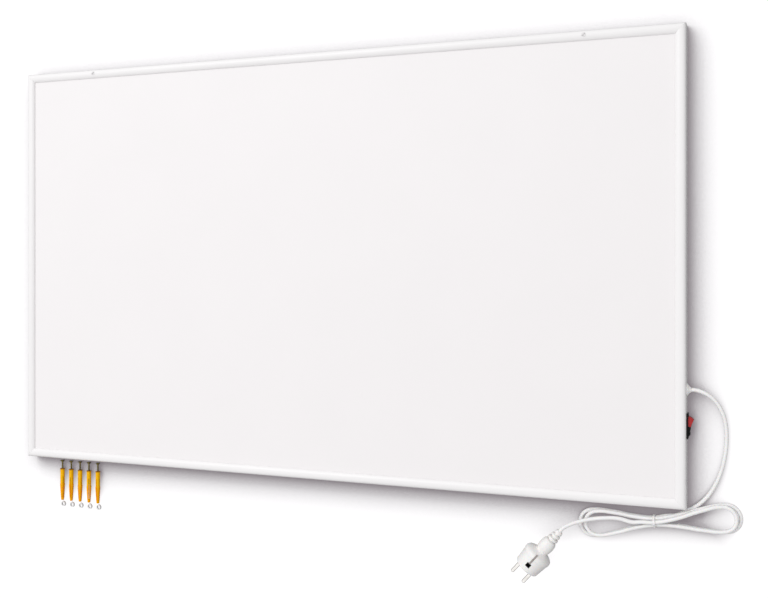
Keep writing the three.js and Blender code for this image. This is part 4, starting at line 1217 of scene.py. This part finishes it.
class HEATER_OT_switch(Operator):
    """Model the switch housing and its rocker"""

    bl_idname = "heater.switch"
    bl_label = "Rocker switch"

    def execute(self, context):
        sizes = context.scene.heater_switch
        frame_sizes = context.scene.heater_frame
        middle, side = side_middle(frame_sizes), frame_sizes.width / 2
        pivot = at(side - PIVOT_INSET, sizes.along, middle)
        self.make_housing(sizes, side, middle, pivot)
        self.make_rocker(sizes, pivot @ at(turned=sizes.rocker_rest))
        return {"FINISHED"}

    def make_housing(self, sizes, side, middle, pivot):
        front = side + PROUD + sizes.bezel_thickness
        back = side - sizes.body_depth
        wall = sizes.body_wall

        def block(name, outline, low, high, along=sizes.along):
            return side_prism(name, rounded_rectangle(*outline), low, high, along, middle)

        face = (sizes.bezel_length, sizes.bezel_width, sizes.bezel_corner)
        bezel = block("switch_housing_shell", face, side + PROUD, front)
        soften(bezel, 0.55 * MM, 3, 60)
        length, width = sizes.body_length, sizes.body_width
        weld(bezel, block("body", (length, width, 0.4 * MM, 3), back, front - 0.8 * MM))
        inner = (length - 2 * wall, width - 2 * wall, 0.3 * MM, 3)
        tools = [block("room", inner, back + wall, front + MM)]
        slot = (1.4 * MM, 5.4 * MM, 0.2 * MM, 2)
        for along in (sizes.along, sizes.along - 7.5 * MM):
            tools.append(block("blade_slot", slot, back - MM, back + wall + MM, along))
        tools.append(settle(rod("pivot", 1.5 * MM, -8 * MM, 8 * MM), pivot))
        smooth(carve(bezel, *tools), 40)
        put_on(bezel, "panel", "black_plastic", "switch_housing")

    def rocker_outline(self, sizes, across):
        """Two dished finger faces, round ends and the stem, as (out, along)."""
        radius, end, low = sizes.rocker_radius, sizes.rocker_end, sizes.rocker_middle
        skirt, stem, stem_end = 2.3 * MM, 3.2 * MM, 9.0 * MM
        half = []
        for step in range(9):
            t = step / 8
            dish = 4 * t * (1 - t) * sizes.rocker_dish
            half.append((low + (end - low) * t - dish, across * t))
        first = math.atan2(across, end)
        last = QUARTER + math.asin(skirt / radius)
        for step in range(1, 11):
            angle = first + (last - first) * step / 10
            half.append((radius * math.cos(angle), radius * math.sin(angle)))
        half += [(-skirt, stem), (-stem_end, stem)]
        return half + [(x, -y) for x, y in reversed(half[1:])]

    def make_rocker(self, sizes, place):
        across = math.sqrt(sizes.rocker_radius**2 - sizes.rocker_end**2)
        width = sizes.body_width - 2 * sizes.body_wall - 0.6 * MM
        outline = self.rocker_outline(sizes, across)
        rocker = prism("rocker_cap", [(x, y, -width / 2) for x, y in outline], (0, 0, width))
        soften(rocker, 0.35 * MM, 3, 35)
        half_bar = [(1.0 * MM, -5.3 * MM), (1.2 * MM, -5.1 * MM)]
        bar = [(0, -5.3 * MM), *half_bar, *((r, -z) for r, z in reversed(half_bar))]
        weld(rocker, spun("trunnions", bar + [(0, 5.3 * MM)], 24))
        carve(rocker, settle(rod("well", 1.9 * MM, -10 * MM, -3.3 * MM), ALONG_X))
        lens = copy_of(rocker, "rocker_lens")
        near, low, far = 1.35 * MM, 0.5 * MM, 20 * MM
        corners = [(near, low), (far, low), (far, far), (near, far)]
        upper = prism("upper", [(x, y, -far) for x, y in corners], (0, 0, 2 * far))
        cutter = settle(copy_of(upper, "cutter"), at(-0.05 * MM, -0.05 * MM))
        combine(lens, "INTERSECT", upper)
        carve(rocker, cutter)
        for piece, look in ((rocker, "black_plastic"), (lens, "red_plastic")):
            smooth(settle(piece, place), 40)
            put_on(piece, "rocker_body", look, "rocker")
        self.make_marks(sizes, across, place)

    def make_marks(self, sizes, across, place):
        """The on and off signs, each on the middle of its finger face."""
        rise = sizes.rocker_end - sizes.rocker_middle
        lean = math.atan2(rise, across)
        share = 0.56
        dish = 4 * share * (1 - share) * sizes.rocker_dish
        height = sizes.rocker_middle + rise * share - dish

        def sign(name, outline, low, high):
            return prism(name, [(low, p[0], p[1]) for p in outline], (high - low, 0, 0))

        for name, face, outline in (
            ("rocker_mark_on", 1, rounded_rectangle(3.4 * MM, 0.7 * MM, 0.2 * MM, 3)),
            ("rocker_mark_off", -1, ring(1.7 * MM)),
        ):
            mark = sign(name, outline, -0.6 * MM, 0.05 * MM)
            if face < 0:
                carve(mark, sign("bore", ring(1.1 * MM), -MM, MM))
            on_face = at(height, face * share * across, 0, -face * lean)
            smooth(settle(mark, place @ on_face), 40)
            put_on(mark, "rocker_body", "mark_paint", slot="white_plastic")


class HEATER_OT_bushing(Operator):
    """Turn the cord bushing"""

    bl_idname = "heater.bushing"
    bl_label = "Cord bushing"

    def execute(self, context):
        sizes = context.scene.heater_switch
        frame_sizes = context.scene.heater_frame
        bore = context.scene.heater_cord.diameter / 2 + 0.15 * MM
        seat = 0.05 * MM
        outer = PROUD + sizes.flange_thickness
        tip = outer + sizes.nose_length
        sleeve, barb, barb_at, end = 4.8 * MM, 6.0 * MM, -1.7 * MM, -15 * MM
        flange, nose, nose_tip = sizes.flange, sizes.nose, sizes.nose_tip
        waist = (nose + 0.75 * (nose_tip - nose), outer + 0.55 * (tip - outer))
        profile = [
            (bore, end), (sleeve - 0.4 * MM, end), (sleeve, end + 0.4 * MM),
            (sleeve, barb_at - 2 * MM), (barb, barb_at), (sleeve, barb_at), (sleeve, seat),
            (flange - 0.2 * MM, seat), (flange, seat + 0.2 * MM), (flange, outer - 0.6 * MM),
            (flange - 0.2 * MM, outer - 0.2 * MM), (flange - 0.6 * MM, outer),
            (nose + 0.25 * MM, outer), (nose, outer + 0.25 * MM),
            (nose - 0.6 * MM, outer + 0.7 * MM), waist, (nose_tip, tip - 0.5 * MM),
            (nose_tip - 0.15 * MM, tip - 0.15 * MM), (nose_tip - 0.4 * MM, tip),
            (bore + 0.1 * MM, tip), (bore, tip - 0.1 * MM), (bore, end),
        ]
        bushing = settle(spun("bushing", profile, 48), ALONG_X)
        place = at(frame_sizes.width / 2, sizes.cord_along, side_middle(frame_sizes))
        smooth(settle(bushing, place), 40)
        put_on(bushing, "panel", "white_plastic", "cord_bushing")
        return {"FINISHED"}


# ---- Wall fixings ----


def cross_cut(piece, outline):
    """Cut two crossed slots through the axis, from an outline of (across, up)."""
    for angle in (0, QUARTER):
        blade = prism("blade", [(x, -0.4 * MM, z) for x, z in outline], (0, 0.8 * MM, 0))
        carve(piece, settle(blade, at(turned=angle)))


class HEATER_OT_wall_kit(Operator):
    """Model one wall screw, wall plug and spacer, and lay the row of them"""

    bl_idname = "heater.wall_kit"
    bl_label = "Wall screws, plugs and spacers"

    def execute(self, context):
        kit = context.scene.heater_kit
        head_at = -context.scene.heater_frame.height / 2 - kit.below
        tip_at = head_at - kit.shown - kit.plug_length
        masters = (self.make_screw(kit), self.make_wall_plug(kit), self.make_spacer(kit))
        screw, plug, spacer = masters
        for number in range(1, kit.count + 1):
            x = kit.first + kit.pitch * (number - 1)
            twist = at(turned=math.radians(37 * number))
            lying = at(x, head_at, kit.plug_radius, QUARTER, "X") @ twist
            standing = at(x, tip_at - kit.spacer_gap)
            for master, name, place, look, node in (
                (screw, "wall_screw_steel", lying, "zinc", "wall_screw"),
                (plug, "wall_plug_nylon", lying, "orange_plastic", "wall_plug"),
                (spacer, "spacer_ring", standing, "grey_plastic", "spacer"),
            ):
                piece = settle(copy_of(master, f"{name}_{number}"), place)
                put_on(piece, "panel", look, f"{node}_{number}")
        for master in masters:
            bpy.data.objects.remove(master)
        return {"FINISHED"}

    def make_screw(self, kit):
        """A countersunk screw from its head's face up along Z."""
        r, core, end = kit.thread_radius, kit.thread_radius - 0.45 * MM, kit.screw_length
        head, neck = kit.head_radius, kit.head_height
        profile = [
            (0, 0), (head - 0.15 * MM, 0), (head, 0.15 * MM), (head, 0.45 * MM),
            (0.8 * head, 1.1 * MM), (r + 0.1 * MM, neck), (core + 0.15 * MM, neck + 0.8 * MM),
            (core, neck + 1.2 * MM), (core, end - 4.5 * MM), (0.6 * core, end - 2 * MM),
            (0, end),
        ]
        screw = spun("screw_master", profile, 32)
        wide, narrow, deep = 2.1 * MM, 0.7 * MM, 1.9 * MM
        cross_cut(screw, [(-wide, -MM), (wide, -MM), (narrow, deep), (-narrow, deep)])
        weld(screw, self.make_thread(kit, r, core))
        return smooth(screw, 35)

    def make_thread(self, kit, r, core):
        """The screw's rib, wound up from behind the head."""
        turns = int((kit.screw_length - kit.head_height - 5 * MM) / kit.thread_pitch)
        foot = core - 0.1 * MM
        section = [(foot, 0), (r, 0.4 * MM), (r, 0.5 * MM), (foot, 0.9 * MM), (foot, 0)]
        rib = trace("thread", [(x, 0, z) for x, z in section])
        start_edit(rib, merge=True)
        end_edit()
        settle(rib, at(z=kit.head_height + MM))
        use_modifier(
            rib, "SCREW", axis="Z", angle=2 * math.pi, screw_offset=kit.thread_pitch,
            iterations=turns, steps=18, render_steps=18, use_merge_vertices=True,
        )
        start_edit(rib, "EDGE")
        bpy.ops.mesh.fill_holes(sides=0)
        end_edit()
        return close_up(rib)

    def make_wall_plug(self, kit):
        """A nylon plug with a smooth neck and an expanding, toothed part."""
        start, r = kit.shown, kit.plug_radius
        end = start + kit.plug_length
        bore = kit.thread_radius + 0.25 * MM
        middle = start + 0.5 * kit.plug_length
        profile = [
            (0, kit.screw_length + 0.3 * MM), (bore, kit.screw_length - 4 * MM),
            (bore, start + 2 * MM), (bore + 0.5 * MM, start), (r - 0.25 * MM, start),
            (r, start + 0.25 * MM), (r, start + 1.2 * MM), (r - 0.35 * MM, start + 1.5 * MM),
            (r - 0.4 * MM, middle - 1.5 * MM),
        ]
        teeth = 7
        step = (end - 3.5 * MM - middle) / teeth
        for tooth in range(teeth):
            foot, top = middle + tooth * step, r - 1.2 * MM * tooth / teeth
            profile += [(top, foot), (top, foot + 0.25 * step)]
            profile += [(top - 0.35 * MM, foot + 0.9 * step)]
        profile += [(r - 1.4 * MM, end - 3.2 * MM), (2.2 * MM, end - 0.5 * MM)]
        profile += [(1.7 * MM, end), (0, end)]
        plug = spun("wall_plug_master", profile, 32)
        wide, low, high = 5 * MM, start + 12 * MM, end - 5 * MM
        cross_cut(plug, [(-wide, low), (wide, low), (wide, high), (-wide, high)])
        return smooth(soften(plug, 0.08 * MM, 1, 50), 35)

    def make_spacer(self, kit):
        """A ring with all four of its edges rounded."""
        r, bore, high = kit.spacer_radius, kit.spacer_bore, kit.spacer_length
        edge = 0.4 * MM
        near = 0.3 * edge
        profile = [
            (bore, edge), (bore + near, near), (bore + edge, 0), (r - edge, 0), (r - near, near),
            (r, edge), (r, high - edge), (r - near, high - near), (r - edge, high),
            (bore + edge, high), (bore + near, high - near), (bore, high - edge), (bore, edge),
        ]
        return smooth(spun("spacer_master", profile, 40), 30)


# ---- Inside ----


class HEATER_OT_inside(Operator):
    """Finish the pieces inside the heater"""

    bl_idname = "heater.inside"
    bl_label = "Inside"

    def execute(self, context):
        worn = {row["node"]: row["material_slot"] for row in frame["record"]["subparts"]}
        for node, piece in SOLIDS.items():
            if not piece.hide_render and node != "front_plate":
                dress(finish(worn[node]), node)
        return {"FINISHED"}


# ---- Stage ----


WHITE = (1.0, 1.0, 1.0)
BLACK = (0.0, 0.0, 0.0)
FLOOR_TOP = -0.3 * MM
FLOOR_THICKNESS = 4 * MM
SHADE_LEAN = (-0.2, 0.5, 1.0)
BOUNCE_TONE = (0.35, 0.35, 0.35)
GLOW = 0.97
LAMP_PLACE = Vector((-1.7, 1.6, 3.6))
BRIGHT_SIDE = (-0.45, 0.89, 0.0)


class HEATER_OT_stage(Operator):
    """Lay the floor and set the light"""

    bl_idname = "heater.stage"
    bl_label = "Floor and light"

    def execute(self, context):
        studio = context.scene.heater_studio
        self.lay_floor(studio, context.scene.heater_frame)
        self.hang_lamp(studio)
        self.light_world(context.scene, studio)
        context.scene.view_settings.view_transform = "Standard"
        return {"FINISHED"}

    def lay_floor(self, studio, sizes):
        """A wide floor, open under the heater so that its rear can be seen from below."""
        outline = rounded_rectangle(8.0, 8.0, 0.5, 8)
        floor = flat_prism("floor", outline, FLOOR_TOP - FLOOR_THICKNESS, FLOOR_TOP)
        outline = rounded_rectangle(sizes.width - 3 * MM, sizes.height - 3 * MM, 2 * MM, 3)
        carve(floor, flat_prism("opening", outline, -0.01, 0.01))
        floor.data.materials.append(self.floor_paper(studio, sizes))

    def floor_paper(self, studio, sizes):
        """White paper that keeps shadows, and is clear from below."""
        material = bpy.data.materials.new("studio_paper")
        paper = Nodes(material)
        to_eye = paper.add("LightPath")["Is Camera Ray"]
        leaned = paper.add("CombineXYZ", *SHADE_LEAN)[0]
        upright = paper.add("VectorMath", leaned, operation="NORMALIZE")[0]
        inputs = {"Distance": studio.contact, "Normal": upright}
        openness = paper.named("AmbientOcclusion", inputs, samples=8)["AO"]
        tone = paper.spread(openness, studio.shade_low, 1.0, studio.open_low, studio.open_high)
        away = self.outside(paper, sizes)
        keep = paper.vary(away, WHITE, BLACK, studio.shade_near, studio.shade_far)
        shade = paper.mix(keep, WHITE, paper.mix(tone, studio.shade_tint, WHITE))
        gain = tuple(channel * studio.paper_gain for channel in studio.paper)
        white = paper.add("VectorMath", shade, gain, operation="MULTIPLY")[0]
        matt = paper.add("BsdfDiffuse", paper.mix(to_eye, BOUNCE_TONE, white))[0]
        glow = paper.add("Emission", white, GLOW)[0]
        own = paper.work_out("MULTIPLY", to_eye, studio.own_light)
        lit = paper.add("MixShader", own, matt, glow)[0]
        geometry = paper.add("NewGeometry")
        under = paper.work_out("LESS_THAN", paper.axis(geometry["Position"], "Z"), -MM)
        unseen = paper.work_out("MAXIMUM", under, geometry["Backfacing"])
        clear = paper.add("BsdfTransparent")[0]
        paper.add("OutputMaterial", paper.add("MixShader", unseen, lit, clear)[0])
        return material

    def outside(self, paper, sizes):
        """How far a place on the floor lies outside the frame."""
        place = paper.add("TexCoord")["Object"]
        over = []
        for axis, half in (("X", sizes.width / 2), ("Y", sizes.height / 2)):
            apart = paper.work_out("ABSOLUTE", paper.axis(place, axis))
            over.append(paper.work_out("SUBTRACT", apart, half))
        return paper.work_out("MAXIMUM", *over)

    def hang_lamp(self, studio):
        aim = -LAMP_PLACE
        bpy.ops.object.select_all(action="DESELECT")
        bpy.ops.object.light_add(
            type="AREA", location=LAMP_PLACE, rotation=aim.to_track_quat("-Z", "Y").to_euler()
        )
        lamp = rename(bpy.context.object, "key_lamp")
        lamp.data.shape = "SQUARE"
        lamp.data.size = studio.key_size
        lamp.data.energy = studio.key_power

    def light_world(self, scene, studio):
        """Even grey light, brighter below the floor, with a white backdrop to the eye."""
        scene.world = bpy.data.worlds.new("studio")
        light = Nodes(scene.world)
        way = light.add("TexCoord")["Generated"]
        up = light.axis(way, "Z")
        side = light.add("VectorMath", way, BRIGHT_SIDE, operation="DOT_PRODUCT")["Value"]
        around = light.spread(side, 1 - studio.one_side, 1 + studio.one_side, -1.0, 1.0)
        fill = studio.fill
        rising = light.spread(up, studio.horizon * fill, studio.zenith * fill, 0.0, 1.0)
        sky = light.work_out("MULTIPLY", around, rising)
        tone = light.vary(up, (studio.below,) * 3, sky, -0.05, 0.0)
        path = light.add("LightPath")
        seen = light.work_out("MAXIMUM", path["Is Camera Ray"], path["Is Glossy Ray"])
        through = light.work_out("MAXIMUM", seen, path["Is Transmission Ray"])
        strength = light.mix(through, tone, WHITE)
        light.add("OutputWorld", light.add("Background", strength)[0])


# ---- Add-on ----


class HEATER_PT_sidebar(Panel):
    """Buttons for each group of pieces"""

    bl_label = "Panel heater"
    bl_idname = "HEATER_PT_sidebar"
    bl_space_type = "VIEW_3D"
    bl_region_type = "UI"
    bl_category = "Heater"

    def draw(self, context):
        for maker in MAKERS:
            self.layout.operator(maker.bl_idname)
        for group in SETTINGS:
            box = self.layout.box()
            box.label(text=group.replace("_", " ").title())
            settings = getattr(context.scene, group)
            for name in settings.bl_rna.properties.keys():
                if name not in ("rna_type", "name"):
                    box.prop(settings, name)


SETTINGS = {
    "heater_frame": FrameSizes,
    "heater_switch": SwitchSizes,
    "heater_cord": CordSizes,
    "heater_plug": PlugSizes,
    "heater_kit": KitSizes,
    "heater_colours": HeaterColours,
    "heater_studio": StudioSettings,
}
MAKERS = (
    HEATER_OT_camera,
    HEATER_OT_plug,
    HEATER_OT_cord,
    HEATER_OT_rails,
    HEATER_OT_crown_screws,
    HEATER_OT_sheets,
    HEATER_OT_switch,
    HEATER_OT_bushing,
    HEATER_OT_wall_kit,
    HEATER_OT_inside,
    HEATER_OT_stage,
)


def register():
    for group in SETTINGS.values():
        bpy.utils.register_class(group)
    for name, group in SETTINGS.items():
        setattr(bpy.types.Scene, name, PointerProperty(type=group))
    for maker in MAKERS:
        bpy.utils.register_class(maker)
    bpy.utils.register_class(HEATER_PT_sidebar)


def unregister():
    bpy.utils.unregister_class(HEATER_PT_sidebar)
    for maker in reversed(MAKERS):
        bpy.utils.unregister_class(maker)
    for name in SETTINGS:
        delattr(bpy.types.Scene, name)
    for group in reversed(list(SETTINGS.values())):
        bpy.utils.unregister_class(group)


def main():
    register()
    for maker in MAKERS:
        group, operator = maker.bl_idname.split(".")
        getattr(getattr(bpy.ops, group), operator)()


if __name__ == "__main__":
    main()
